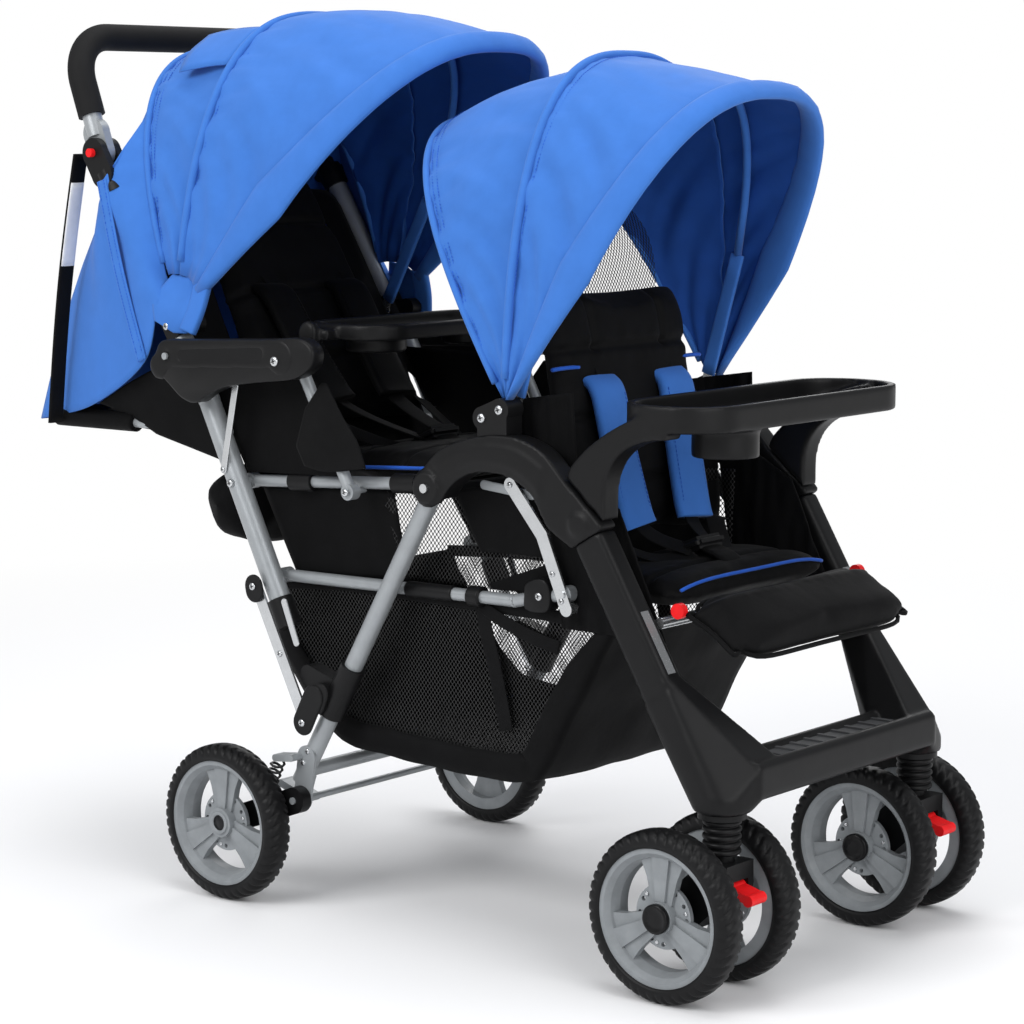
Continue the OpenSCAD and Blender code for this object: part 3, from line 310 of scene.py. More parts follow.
def resampled(line, n):
    """Points at even steps along a line."""
    p = np.array(line, float)
    d = np.concatenate([[0], np.cumsum(np.linalg.norm(np.diff(p, axis=0), axis=1))])
    q = np.linspace(0, d[-1], n)
    return np.stack([np.interp(q, d, p[:, k]) for k in range(p.shape[1])], axis=1)


def curve_through(p, steps):
    """Smooth line through points in mm."""
    p = [np.array(q, float) for q in p]
    out = []
    for a, b, c, d in zip([p[0]] + p[:-2], p[:-1], p[1:], p[2:] + [p[-1]]):
        for k in range(steps):
            t = k / steps
            out.append(0.5 * (2 * b + (c - a) * t + (2 * a - 5 * b + 4 * c - d) * t * t
                              + (3 * b - a - 3 * c + d) * t ** 3))
    return out + [p[-1]]


def grid(rows, cols, point):
    """Rows of points from a function of the shares down and across."""
    return [[point(i / (rows - 1), j / (cols - 1)) for j in range(cols)] for i in range(rows)]


def grid_normals(g):
    a = np.array(g, float)
    c = np.cross(np.gradient(a, axis=0), np.gradient(a, axis=1))
    length = np.linalg.norm(c, axis=2, keepdims=True)
    length[length < 1e-9] = 1
    return c / length


def two_faced(n, m, flip=False):
    """Faces of two layers of n by m points, closed round their edge."""
    k = n * m
    faces = []
    for i in range(n - 1):
        for j in range(m - 1):
            q = (i * m + j, (i + 1) * m + j, (i + 1) * m + j + 1, i * m + j + 1)
            w = tuple(x + k for x in q)
            faces += [q[::-1], w] if flip else [q, w[::-1]]
    ring = ([j for j in range(m - 1)] + [i * m + m - 1 for i in range(n - 1)]
            + [(n - 1) * m + j for j in range(m - 1, 0, -1)] + [i * m for i in range(n - 1, 0, -1)])
    return faces + [(p, q, q + k, p + k) for p, q in zip(ring, ring[1:] + ring[:1])]


def sheet_from(name, g, thick, mat, flip=False, uv=None, inside=None):
    """Thin closed cloth whose outer face is the grid of points g, with its thickness on the other side.

    uv is the axis that its weave runs along, beside the height."""
    n, m = len(g), len(g[0])
    nor = grid_normals(g) * (-1 if flip else 1)
    outer = [tuple(p) for row in g for p in row]
    inner = [tuple(np.array(g[i][j]) - nor[i][j] * thick) for i in range(n) for j in range(m)]
    uvs = None if uv is None else [(p[uv] / 1000, p[2] / 1000) for p in outer] * 2
    o = obj_from(name, outer + inner, two_faced(n, m, flip), mat, uvs=uvs)
    # The inner faces can take a second material, a darker copy of the cloth that paints shade on the side
    # turned away from the light.
    if inside is not None:
        o.data.materials.append(inside)
        for f in list(o.data.polygons)[1:2 * (n - 1) * (m - 1):2]:
            f.material_index = 1
    return o


def skin(rings, sides, closed=False, caps=True):
    """Faces over rings of points, which end in caps or close on the first ring."""
    faces = []
    for i in range(rings if closed else rings - 1):
        a = i * sides
        b = (i + 1) % rings * sides
        for k in range(sides):
            j = (k + 1) % sides
            faces.append((a + k, a + j, b + j, b + k))
    if caps and not closed:
        faces.append(tuple(range(sides))[::-1])
        faces.append(tuple((rings - 1) * sides + k for k in range(sides)))
    return faces


def tube(name, pts, r, mat, sides=10, closed=False, flat=1.0, up=None):
    """Swept tube along points in mm. flat squeezes it along its own second axis, for webbing and piping."""
    p = [np.array(q, float) for q in pts]
    n = len(p)
    verts = []
    ref = up
    for i in range(n):
        d = p[(i + 1) % n] - p[i - 1] if closed else p[min(i + 1, n - 1)] - p[max(i - 1, 0)]
        d = d / (np.linalg.norm(d) + 1e-9)
        if ref is None:
            ref = (0, 0, 1) if abs(d[2]) < 0.9 else (1, 0, 0)
        a = np.array(ref, float) - d * np.dot(ref, d)
        a /= np.linalg.norm(a) + 1e-9
        ref = a
        b = np.cross(d, a)
        for s in range(sides):
            t = 2 * math.pi * s / sides
            c, q = math.cos(t), math.sin(t)
            if flat != 1.0:
                c, q = (math.copysign(abs(x) ** 0.5, x) for x in (c, q))
            verts.append(tuple(p[i] + a * r * flat * c + b * r * q))
    return obj_from(name, verts, skin(n, sides, closed), mat)


def disc(name, at, side, rings, mat, sides=40):
    """Turned piece that faces out to that side: rings are (height, radius)."""
    verts = []
    for h, r in rings:
        for k in range(sides):
            t = 2 * math.pi * k / sides
            verts.append((at[0] + r * math.cos(t), at[1] + side * h, at[2] + r * math.sin(t)))
    return obj_from(name, verts, skin(len(rings), sides), mat)


def joined(name, parts):
    """One piece from several, with their materials."""
    me = bpy.data.meshes.new(name)
    bm = bmesh.new()
    mats = []
    for o in parts:
        for m in o.data.materials:
            if m not in mats:
                mats.append(m)
        before = len(bm.faces)
        bm.from_mesh(o.data)
        bm.faces.ensure_lookup_table()
        for f in bm.faces[before:]:
            f.material_index = mats.index(o.data.materials[f.material_index])
    bm.to_mesh(me)
    bm.free()
    for o in parts:
        old = o.data
        bpy.data.objects.remove(o)
        bpy.data.meshes.remove(old)
    o = bpy.data.objects.new(name, me)
    for m in mats:
        me.materials.append(m)
    scene.collection.objects.link(o)
    return o


# How cloth lies down when the frame folds: the way it flattens and a point that it flattens to, by body
PUSHER_BACK = ((0.851, 0, 0.524), (-67, 0, 567))
DOWN_TO_SEAT = ((0, 0, 1), (480, 0, 400))
DOWN_TO_TRAY = ((0, 0, 1), (480, 0, 520))
DOWN_TO_RAIL = ((0, 0, 1), (120, 0, 484))
FOLDS = {"pusher": PUSHER_BACK, "rear_visor": PUSHER_BACK, "rear_backrest": PUSHER_BACK,
         "front_visor": DOWN_TO_TRAY, "front_backrest": DOWN_TO_SEAT, "seat_rails": DOWN_TO_RAIL,
         "struts": DOWN_TO_RAIL}


def lies_down(o, way):
    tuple(way[0])
    tuple(V(*way[1]))
    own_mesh(o)


def done(o, body, slot, stands_for=(), folds=None):
    """Hand a piece to its body and hide the parts that it stands for; cloth with a fold only gets its own
    copy of its mesh.
    """
    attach(o, body)
    if stands_for:
        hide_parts(*([stands_for] if isinstance(stands_for, str) else stands_for))
    if slot in ("blue_fabric", "black_fabric"):
        way = folds or FOLDS.get(body)
        if way:
            lies_down(o, way)
    return o


def cloth_sheet(o, width, length, area, held, on):
    """Returns the piece as it is. width and length, its cut in mm, and area, the cut's in m2 before any
    wrinkle, are not used.
    """
    return o


def remesh(o, size):
    """Adds an even skin with cells of that size in m."""
    r = o.modifiers.new("remesh", "REMESH")
    r.mode = "VOXEL"
    r.voxel_size = size
    return r


def moulded(node):
    """Copy of a plastic solid with its edges rounded, as the mould leaves them."""
    o = bpy.data.objects.new(node + "_moulded", nodes[node].data.copy())
    scene.collection.objects.link(o)
    remesh(o, 0.0026).use_smooth_shade = True
    s = o.modifiers.new("smooth", "SMOOTH")
    s.factor = 0.5
    s.iterations = 5
    applied(o)
    o.data.materials.clear()
    o.data.materials.append(PLASTIC)
    return done(o, BODY_OF[node], SLOT_OF[node], node)


for name in ("arches", "front_legs", "front_tray", "rear_tray", "armrests"):
    moulded(name)


# Screws and rivets

def screw(name, at, side, r, body):
    """Round head facing out to that side, with its cross recess drawn as two dark bars: painted shade of the
    recess.
    """
    rings = [(r * 0.55 * h, r * w) for h, w in ((0.0, 1.0), (0.55, 1.0), (0.85, 0.82), (1.0, 0.5))]
    bits = [disc(name, at, side, rings, STEEL, 20)]
    c = np.array(at) + np.array((0, side * r * 0.56, 0))
    # Two dark bars on the head paint the shade of the cross recess.
    for turn in (0.3, 0.3 + math.pi / 2):
        d = np.array((math.cos(turn), 0, math.sin(turn))) * r * 0.5
        bits.append(tube(name + "_slot", [c - d, c + d], r * 0.12, BLACK_STEEL_AND_SHADE, 6))
    return done(joined(name, bits), body, "steel")


# Canopies

def stitches(name, pts, mat, pitch=4.0, r=0.5):
    """A row of short raised stitches along points in mm."""
    verts = []
    faces = []
    p = [np.array(q, float) for q in pts]
    step = 0.0
    for a, b in zip(p, p[1:]):
        length = np.linalg.norm(b - a)
        d = (b - a) / (length + 1e-9)
        side = np.cross(d, (0.3, 0.9, 0.2))
        side /= np.linalg.norm(side) + 1e-9
        up = np.cross(side, d)
        x = step
        while x < length:
            c0 = a + d * x
            c1 = a + d * min(x + pitch * 0.6, length)
            base = len(verts)
            for c in (c0, c1):
                for u, v in ((1, 0), (0, 1), (-1, 0), (0, -1)):
                    verts.append(tuple(c + side * r * u + up * r * v))
            faces += [tuple(base + k for k in f) for f in skin(2, 4)]
            x += pitch
        step = x - length
    return obj_from(name, verts, faces, mat, smooth=False)


class Canopy:
    """Curved cloth over bows that meet at a pivot on each side. Angles are in degrees above the front."""

    def __init__(self, pivot, half_w, low):
        self.pivot = pivot
        self.half_w = half_w
        self.low = low

    def at(self, angle, r, phi, grow=0.0):
        """Point on the bow at that angle, phi from its left end to its right end."""
        power = 2 / 2.7
        s = math.sin(phi)
        c = math.cos(phi)
        reach = self.low + (r + grow - self.low) * abs(s) ** power
        y = (self.half_w + grow) * math.copysign(abs(c) ** power, c)
        a = math.radians(angle)
        return (self.pivot[0] + reach * math.cos(a), y, self.pivot[1] + reach * math.sin(a))

    def panel(self, name, a0, a1, r0, r1, sag, seed):
        """Cloth between the bows at a0 and a1, with puckers at the seams and soft pulls between them."""
        pucker = 3.6

        def point(t, u):
            phi = math.pi * u
            angle = mix(a0, a1, t)
            p = self.at(angle, mix(r0, r1, t) - sag * 4 * t * (1 - t) * math.sin(phi) ** 0.5, phi)
            near = math.exp(-t / 0.22) + math.exp(-(1 - t) / 0.22)
            side = 1 - math.sin(phi) ** 2
            lines = ripple((phi * 210, seed * 37, t * 40), 14, seed)
            broad = ripple((phi * 150, seed * 11, t * 120), 70, seed + 3)
            pull = ripple((phi * 250 + t * 110, seed * 5, t * 26), 26, seed + 7)
            d = pucker * (1.4 * lines * near * (0.35 + side)
                          + (1.6 * broad + 1.8 * pull * (0.35 + side)) * math.sin(math.pi * t))
            d = min(d, 1.0 + 7 * side)
            a = math.radians(angle)
            w = np.array((math.cos(a) * math.sin(phi), math.cos(phi), math.sin(a) * math.sin(phi)))
            return tuple(np.array(p) + w * d)

        # The panel's inner face is painted shade: a darker copy of the blue.
        return sheet_from(name, grid(30, 120, point), 1.8, BLUE, flip=a1 < a0, inside=BLUE_PAINTED_SHADE)

    def arc(self, angle, r, grow, margin, n):
        return [self.at(angle, r, mix(margin, math.pi - margin, k / n), grow) for k in range(n + 1)]

    def seam(self, name, angle, r, grow, radius, rows, lift):
        """Piped bow with rows of stitches at these angles beside it."""
        bits = [tube("bow", self.arc(angle, r, grow, 0.02, 119), radius, BLUE, 12)]
        bits += [stitches("stitch", self.arc(a, r, lift, 0.05, 160), PIPING) for a in rows]
        return joined(name, bits)

    def rim(self, name, angle, r, depth, bulge, seed):
        """Padded band along the front edge, with a soft crown and small gathers."""
        n, sides = 140, 14
        verts = []
        for k in range(n):
            phi = mix(0.0, math.pi, k / (n - 1))
            for s in range(sides):
                t = 2 * math.pi * s / sides
                da = depth * 0.5 * math.cos(t)
                dr = bulge * math.sin(t) * (1 + 0.12 * ripple((k * 9, s * 4, 0), 22, seed))
                a = angle + math.degrees(da / max(r * math.sin(phi), 120))
                verts.append(self.at(a, r, phi, dr))
        return obj_from(name, verts, skin(n, sides), BLUE)


# Cut of each canopy's back and front: width, length, and area in m2
CUTS = {"rear": ((807, 187, 0.0998), (998, 273, 0.1571)), "front": ((908, 244, 0.1342), (954, 188, 0.1066))}
REAR_PIVOT, FRONT_PIVOT = (-119, 650), (376, 584)
REAR_RIM, REAR_RIB, REAR_EDGE = (43.5, 459), (80, 357), (107, 334)
FRONT_RIM, FRONT_RIB, FRONT_EDGE = (58, 388), (87, 366), (122, 358)


def canopy_set(label, pivot, low_rear, low_visor, rim, rib, edge, fixed_body, visor_body, lie, seed):
    """Fixed back panel and swinging visor, with seams and a padded rim.

    rim, rib and edge are (angle, radius)."""
    rear = Canopy(pivot, 185, low_rear)
    visor = Canopy(pivot, 190, low_visor)
    stays = label + "_canopy_stays"
    panel = rear.panel(label + "_canopy_back", rib[0] - 4, edge[0], rib[1], edge[1], 6, seed)
    cloth_sheet(panel, *CUTS[label][0], "stretched", [stays])
    done(panel, fixed_body, "blue_fabric", label + "_canopy_rear", lie)
    rib_r = rib[1] + 5
    front = visor.panel(label + "_canopy_front", rim[0] + 1.5, rib[0] + 1, rim[1], rib_r, 8, seed + 5)
    cloth_sheet(front, *CUTS[label][1], "stretched", [stays])
    done(front, visor_body, "blue_fabric", label + "_canopy_visor")
    rows = (edge[0] - 2.0, edge[0] - 3.6)
    done(rear.seam(label + "_canopy_edge", *edge, 0.5, 4.2, rows, 1.2), fixed_body, "blue_fabric", (), lie)
    rows = (rib[0] - 1.6, rib[0] + 1.8)
    seam = visor.seam(label + "_canopy_rib", rib[0] + 0.6, rib_r, 1.0, 5.0, rows, 0.6)
    done(seam, visor_body, "blue_fabric")
    pad = visor.rim(label + "_canopy_rim", rim[0] + 1.2, rim[1], 30, 7.5, seed)
    done(pad, visor_body, "blue_fabric")
    lies_down(nodes[stays], lie)
    return rear


rear_c = canopy_set("rear", REAR_PIVOT, 60, 60, REAR_RIM, REAR_RIB, REAR_EDGE, "pusher", "rear_visor",
                    PUSHER_BACK, 2.0)
front_c = canopy_set("front", FRONT_PIVOT, 12.6, 13.1, FRONT_RIM, FRONT_RIB, FRONT_EDGE, "front_frame",
                     "front_visor", DOWN_TO_TRAY, 7.0)


# Blue cloth that hangs behind the rear seat

DROP_FOOT = (-392, 522)


def drop_point(t, v):
    """Point of the drop, t from its head to its foot and v across. Its head follows the rear bow."""
    across = (150 * abs(v) / 185) ** 1.35
    reach = 60 + 268 * (1 - across ** 2) ** 0.37
    head = (REAR_PIVOT[0] - 0.292 * reach - 3, REAR_PIVOT[1] + 0.956 * reach + 4)
    belly = 22 * math.sin(math.pi * t) - 3 * t * (1 - math.cos(4 * math.pi * v))
    return mix(head[0], DROP_FOOT[0], t) - belly, mix(150, 158, t) * v, mix(head[1], DROP_FOOT[1], t)


def back_drop():
    def point(t, u):
        x, y, z = drop_point(t, -1 + 2 * u)
        d = 3.5 * ripple((y, z * 0.35, 0), 42, 4.0) * math.sin(math.pi * min(t, 0.97))
        return x - d * 0.7, y, z
    # Its inner face is painted shade: a darker copy of the blue.
    o = sheet_from("back_drop_cloth", grid(40, 60, point), 1.8, BLUE, True, inside=BLUE_PAINTED_SHADE)
    cloth_sheet(o, 352, 481, 0.1481, "hung", ["deck_frame"])
    return done(o, "pusher", "blue_fabric", "back_drop")


back_drop()


# Pads

def pad_frame(angle, start, turned=1, back=0.0, drop=0.0):
    """From a pad's own axes, along, across and out of its face, to a pad that rises by angle from start."""
    a = math.radians(angle)
    along = np.array((math.cos(a), 0, math.sin(a)))
    out = np.array((-math.sin(a), 0, math.cos(a))) * turned
    origin = np.array((start[0], 0, start[1]))
    return lambda x, y, z: tuple(origin + along * (x - back) + np.array((0, y, 0)) + out * (z - drop))


CLOTH_FRAMES = 20


def simulate(o, cap):
    """Inflates a pad as sewn cloth over its filling, and keeps each point within cap mm of the pattern."""
    remesh(o, 0.005)
    applied(o)
    rest = np.zeros(len(o.data.vertices) * 3)
    o.data.vertices.foreach_get("co", rest)
    c = o.modifiers.new("cloth", "CLOTH")
    for k, v in (("quality", 4), ("mass", 0.3), ("tension_stiffness", 15), ("compression_stiffness", 15),
                 ("shear_stiffness", 5), ("bending_stiffness", 0.4), ("use_pressure", True),
                 ("uniform_pressure_force", 4)):
        setattr(c.settings, k, v)
    c.settings.effector_weights.gravity = 0
    c.collision_settings.use_collision = False
    c.point_cache.frame_start = 1
    c.point_cache.frame_end = CLOTH_FRAMES
    for f in range(1, CLOTH_FRAMES + 1):
        scene.frame_set(f)
    me = applied(o).data
    scene.frame_set(1)
    now = np.zeros(len(me.vertices) * 3)
    me.vertices.foreach_get("co", now)
    d = (now - rest).reshape(-1, 3)
    size = np.linalg.norm(d, axis=1, keepdims=True)
    size[size < 1e-9] = 1e-9
    d *= np.minimum(1, (cap / 1000) / size)
    me.vertices.foreach_set("co", (rest.reshape(-1, 3) + d).ravel())
    me.update()
    return o


def rounded(u, v, length, half_w, taper, corner):
    """Point of a pad's plan for u and v from -1 to 1, with waisted sides and round corners."""
    w = half_w * (1 - taper * (u + 1) / 2)
    pull = 0.29 * corner * abs(u * v) ** 8
    x = length / 2 * (1 + u * (1 - 0.03 * math.cos(math.pi / 2 * v) ** 2)) - math.copysign(pull, u)
    y = w * v * (1 - 0.04 * math.cos(math.pi / 2 * u) ** 2) - math.copysign(pull, v)
    return x, y


def pad(name, frame_of, length, half_w, thick, seams, cap, seed, taper=0.0, corner=30):
    """Stuffed pad along its own x axis. seams are (x0, y0, x1, y1) lines sewn into the face."""
    rows, cols = 40, 36
    verts = []
    for top in (1, 0):
        for i in range(rows):
            u = -1 + 2 * i / (rows - 1)
            for j in range(cols):
                v = -1 + 2 * j / (cols - 1)
                e = (max(0, (1 - abs(u) ** 4) * (1 - abs(v) ** 4))) ** 0.5
                x, y = rounded(u, v, length, half_w, taper, corner)
                z = thick * (0.40 + 0.48 * e) if top else thick * (0.30 - 0.22 * e)
                verts.append(frame_of(x, y, z))
    o = obj_from(name, verts, two_faced(rows, cols), CLOTH)
    simulate(o, cap)
    s = o.modifiers.new("smooth", "SMOOTH")
    s.factor = 0.5
    s.iterations = 2
    s2 = o.modifiers.new("sub", "SUBSURF")
    s2.levels = 1
    s2.render_levels = 1
    applied(o)
    o.data.polygons.foreach_set("use_smooth", [True] * len(o.data.polygons))
    base = np.array(frame_of(0, 0, 0))
    ax, ay, az = (np.array(frame_of(*q)) - base for q in ((1, 0, 0), (0, 1, 0), (0, 0, 1)))
    for v in o.data.vertices:
        p = np.array((v.co.x * 1000 + MID, v.co.y * 1000, v.co.z * 1000)) - base
        x, y, z = p @ ax, p @ ay, p @ az
        dz = 0.0
        if z > thick * 0.35:
            for (x0, y0, x1, y1) in seams:
                d = np.array((x1 - x0, y1 - y0))
                t = min(1, max(0, np.dot((x - x0, y - y0), d) / (d @ d)))
                dist = math.hypot(x - x0 - d[0] * t, y - y0 - d[1] * t)
                dz -= 4.5 * math.exp(-(dist / 5.0) ** 2)
                dz += 1.0 * math.exp(-((dist - 11) / 6.0) ** 2) * ripple((x, y, 0), 16, seed)
            dz += 1.2 * ripple((x, y * 0.6, z), 34, seed + 1)
        v.co += Vector(az * dz / 1000)
    o.data.update()
    return o


def outline_of(frame_of, length, half_w, z, corner=30):
    """Closed line round a pad's edge."""
    n = 24
    pts = []
    for side in range(4):
        for k in range(n):
            t = -1 + 2 * k / n
            u, v = ((t, -1), (1, t), (-t, 1), (-1, -t))[side]
            pts.append(frame_of(*rounded(u, v, length, half_w, 0.0, corner), z))
    return pts


RAIL_SLOPE = math.degrees(math.atan2(494 - 475, 278 + 21))
front_back = pad_frame(99, (408, 424), -1, drop=11.9)
front_lay = pad_frame(0, (402, 384))
rear_lay = pad_frame(RAIL_SLOPE, (24, 475 + 45 * math.tan(math.radians(RAIL_SLOPE))))
rear_back = pad_frame(121, (-18, 520), -1, drop=11.9)
calf = pad_frame(-31, (588, 389), back=5, drop=38 * 0.34)

seams = [(x, -140, x, 140) for x in (60, 120)]
o = pad("front_seat_cushion", front_lay, 172, 147, 33, seams, 6, seed=1.0)
done(o, "front_frame", "black_fabric", "front_seat_pad")
seams = [(x, -138, x, 138) for x in (72, 145, 218)] + [(218, y, 286, y) for y in (-62, 62)]
o = pad("front_back_cushion", front_back, 290, 145, 35, seams, 7, taper=0.12, seed=2.0)
done(o, "front_backrest", "black_fabric", "front_backrest")
seams = [(x, -140, x, 140) for x in (80, 160)]
o = pad("rear_seat_cushion", rear_lay, 236, 147, 33, seams, 6, seed=3.0)
done(o, "seat_rails", "black_fabric", "rear_seat_pad")
seams = [(x, -w, x, w) for x, w in ((90, 138), (180, 130), (270, 120))]
o = pad("rear_back_cushion", rear_back, 361, 145, 35, seams, 7, taper=0.25, seed=4.0)
done(o, "rear_backrest", "black_fabric", "rear_backrest")
o = pad("calf_rest_cushion", calf, 95, 167, 41, [(16, -156, 16, 156)], 5, seed=5.0, corner=70)
done(o, "calf_rest", "black_fabric", "calf_rest")

line = outline_of(rear_lay, 236, 148, 15)
done(tube("rear_seat_piping", line, 2.2, PIPING, 8, closed=True), "seat_rails", "blue_fabric")
line = outline_of(calf, 95, 167, 14, corner=70)
done(tube("calf_piping", line, 2.6, CLOTH, 8, closed=True), "calf_rest", "black_fabric")


# Harnesses

def strap(name, pts, width, thick, mat, body, slot, up=(1, 0, 0.3), folds=None):
    """Flat webbing or a stitched pad along points in mm."""
    o = tube(name, curve_through(pts, 8), width / 2, mat, 16, flat=thick / width, up=up)
    return done(o, body, slot, (), folds) if body else o


def buckle(name, at, body):
    """Buckle as one rounded body."""
    bm = bmesh.new()
    bmesh.ops.create_cube(bm, size=1.0)
    bmesh.ops.scale(bm, vec=(0.036, 0.052, 0.014), verts=bm.verts)
    bmesh.ops.bevel(bm, geom=bm.edges[:], offset=0.005, segments=3, affect="EDGES")
    bmesh.ops.rotate(bm, cent=(0, 0, 0), matrix=Matrix.Rotation(math.radians(-24), 3, "Y"), verts=bm.verts)
    bmesh.ops.translate(bm, vec=V(*at), verts=bm.verts)
    me = bpy.data.meshes.new(name)
    bm.to_mesh(me)
    bm.free()
    o = bpy.data.objects.new(name, me)
    scene.collection.objects.link(o)
    me.materials.append(PLASTIC)
    return done(o, body, "black_plastic")


def harness(back, seat_z, seat_x, body, seat_body, label, pads, slot):
    """Two padded shoulder straps, waist straps, a crotch strap and their buckle."""
    def seat(x, y, z):
        return seat_x + x, y, seat_z + z

    for s, tag in SIDES:
        top = [back(x, s * y, z) for x, y, z in ((184, 62, 34), (166, 62, 45), (104, 58, 48), (40, 53, 54),
                                                 (20, 51, 58))]
        pad_o = strap(f"{label}_shoulder_pad_{tag}", top, 56, 13, pads, None, None)
        edge = []
        for e in (-1, 1):
            line = [back(x, s * y + e * 22, z + 5.9) for x, y, z in
                    ((166, 62, 45), (135, 60, 46.5), (104, 58, 48), (72, 55.5, 51), (40, 53, 54))]
            edge.append(stitches(f"{label}_pad_stitch", line, PIPING if pads is BLUE else CLOTH, 5, 0.5))
        done(pad_o, body, slot)
        done(joined(f"{label}_pad_stitches_{tag}", edge), body, slot)
        web = [back(204, s * 58, 26), back(194, s * 58, 36), back(120, s * 55, 46), back(24, s * 47, 54),
               seat(96, s * 22, 42)]
        strap(f"{label}_shoulder_web_{tag}", web, 23, 1.8, WEB, body, "black_fabric")
        web = [back(14, s * 132, 30), back(12, s * 104, 46), seat(78, s * 60, 36), seat(96, s * 20, 40)]
        strap(f"{label}_waist_web_{tag}", web, 23, 1.8, WEB, body, "black_fabric", up=(0.3, 0, 1))
    web = [seat(142, 0, 24), seat(128, 0, 36), seat(104, 0, 44)]
    strap(f"{label}_crotch_web", web, 34, 6, CLOTH, seat_body, "black_fabric", up=(0.5, 0, 1))
    buckle(f"{label}_buckle", seat(92, 0, 46), seat_body)


harness(front_back, 384, 402, "front_backrest", "front_frame", "front", BLUE, "blue_fabric")
harness(rear_back, 478, 24, "rear_backrest", "seat_rails", "rear", CLOTH, "black_fabric")

for lo, hi, tag in ((-134, -92, "r"), (-44, 46, "m"), (92, 134, "l")):
    line = [front_back(193 + 6 * math.cos((v - (lo + hi) / 2) / 46), v, 33.8 - 5 * (abs(v) / 140) ** 4)
            for v in np.linspace(lo, hi, 20)]
    done(tube(f"front_back_piping_{tag}", line, 2.3, PIPING, 8), "front_backrest", "blue_fabric")
line = [(566 + 3 * math.cos(v / 60), v, 384 + 27 - 10 * (abs(v) / 140) ** 4)
        for v in np.linspace(-132, 132, 40)]
done(tube("front_seat_piping", line, 2.0, PIPING, 8), "front_frame", "blue_fabric")


# Basket of cloth with net sides

BASKET_W = 157
# Low line of the basket from its rear wall to its front wall, and its hem, as (x, z)
LINE = [(-10, 357), (-4, 330), (14, 276), (58, 224), (88, 198), (104, 187), (124, 182), (196, 177),
        (299, 173), (360, 174), (392, 179), (408, 200), (436, 256), (468, 310), (496, 358)]
BASKET_FOLD = ((1, 0, 0), (452, 0, 270))
HEM = ([-10, 112, 404, 496], [357, 366, 364, 358])


def basket():
    n, m = 70, 41
    prof = resampled(LINE, n)
    tan = np.gradient(prof, axis=0)
    tan /= np.linalg.norm(tan, axis=1, keepdims=True)
    g = []
    for i in range(n):
        inward = np.array((-tan[i][1], tan[i][0]))
        row = []
        for j in range(m):
            v = -1.16 + 2.32 * j / (m - 1)
            side = max(0.0, abs(v) - 1.0)
            y = math.copysign(min(abs(v), 1.0) * BASKET_W, v)
            flatness = max(0.0, 1 - min(1.0, abs(v)) ** 2)
            lift = side * 190 * (1 - 0.5 * smooth_step(0.75, 1.0, abs(2 * i / (n - 1) - 1)))
            wrinkle = 2.5 * ripple((prof[i][0], y, prof[i][1]), 55, 3.0) * (1 - side)
            q = prof[i] - inward * (4 * flatness - 1.0) + inward * wrinkle + inward * lift
            row.append((q[0], y * (1 - 0.01 * side), q[1]))
        g.append(row)
    floor_o = sheet_from("basket_cloth", g, 1.6, CLOTH)
    cloth_sheet(floor_o, 371, 715, 0.259, "hung", ["lower_rails"])
    done(floor_o, "front_frame", "black_fabric", "basket", folds=BASKET_FOLD)
    low_line = ([q[0] for q in LINE], [q[1] for q in LINE])
    xs = np.linspace(0, 488, 80)
    for s, tag in SIDES:
        g = []
        for x in xs:
            under = float(np.interp(x, *low_line))
            top = np.interp(x, *HEM)
            col = []
            for k in range(16):
                t = k / 15
                z = mix(under + 4, top, t)
                billow = 7 * math.sin(math.pi * t) * math.sin(math.pi * (x + 10) / 506)
                col.append((x, s * (BASKET_W - 1 - billow + 1.5 * ripple((x, z, 0), 60, s)), z))
            g.append(col)
        net = sheet_from(f"basket_net_{tag}", g, 0.5, NET, s > 0, uv=0)
        cloth_sheet(net, 490, 190, 0.0752, "hung", ["lower_rails"])
        done(net, "front_frame", "black_fabric", folds=BASKET_FOLD)
        hem = [(x, s * (BASKET_W - 1), float(np.interp(x, *HEM))) for x in xs]
        hem = tube(f"basket_hem_{tag}", hem, 7, WEB, 10, flat=0.3, up=(0, 1, 0))
        done(hem, "front_frame", "black_fabric", (), BASKET_FOLD)


basket()


# Sheets at the sides and behind the seats

def net_panel(name, corners, y, body, mat=LINING, n=24, belly=4.0, thick=1.2, gather=0.0, folds=None):
    """Panel between four corners (x, z) in mm, in the plane of a side, with a slight belly."""
    a, b, c, d = [np.array(q, float) for q in corners]

    def point(t, u):
        p = mix(mix(a, b, t), mix(d, c, t), u)
        dy = belly * math.sin(math.pi * t) * math.sin(math.pi * u) + 1.2 * ripple((p[0], p[1], 0), 40, y)
        dy += gather * ripple((p[0] * 2.4, p[1] * 0.5, 0), 34, y)
        return p[0], y - math.copysign(dy, y), p[1]

    o = sheet_from(name, grid(n, 40 if n == 40 else 18, point), thick, mat, y > 0, uv=0)
    w = max(np.linalg.norm(b - a), np.linalg.norm(c - d))
    h = max(np.linalg.norm(d - a), np.linalg.norm(c - b))
    p, q = c - a, d - b
    cloth_sheet(o, w, h, abs(p[0] * q[1] - p[1] * q[0]) / 2e6, "stretched", ["seat_rails"])
    return done(o, body, "black_fabric", (), folds)


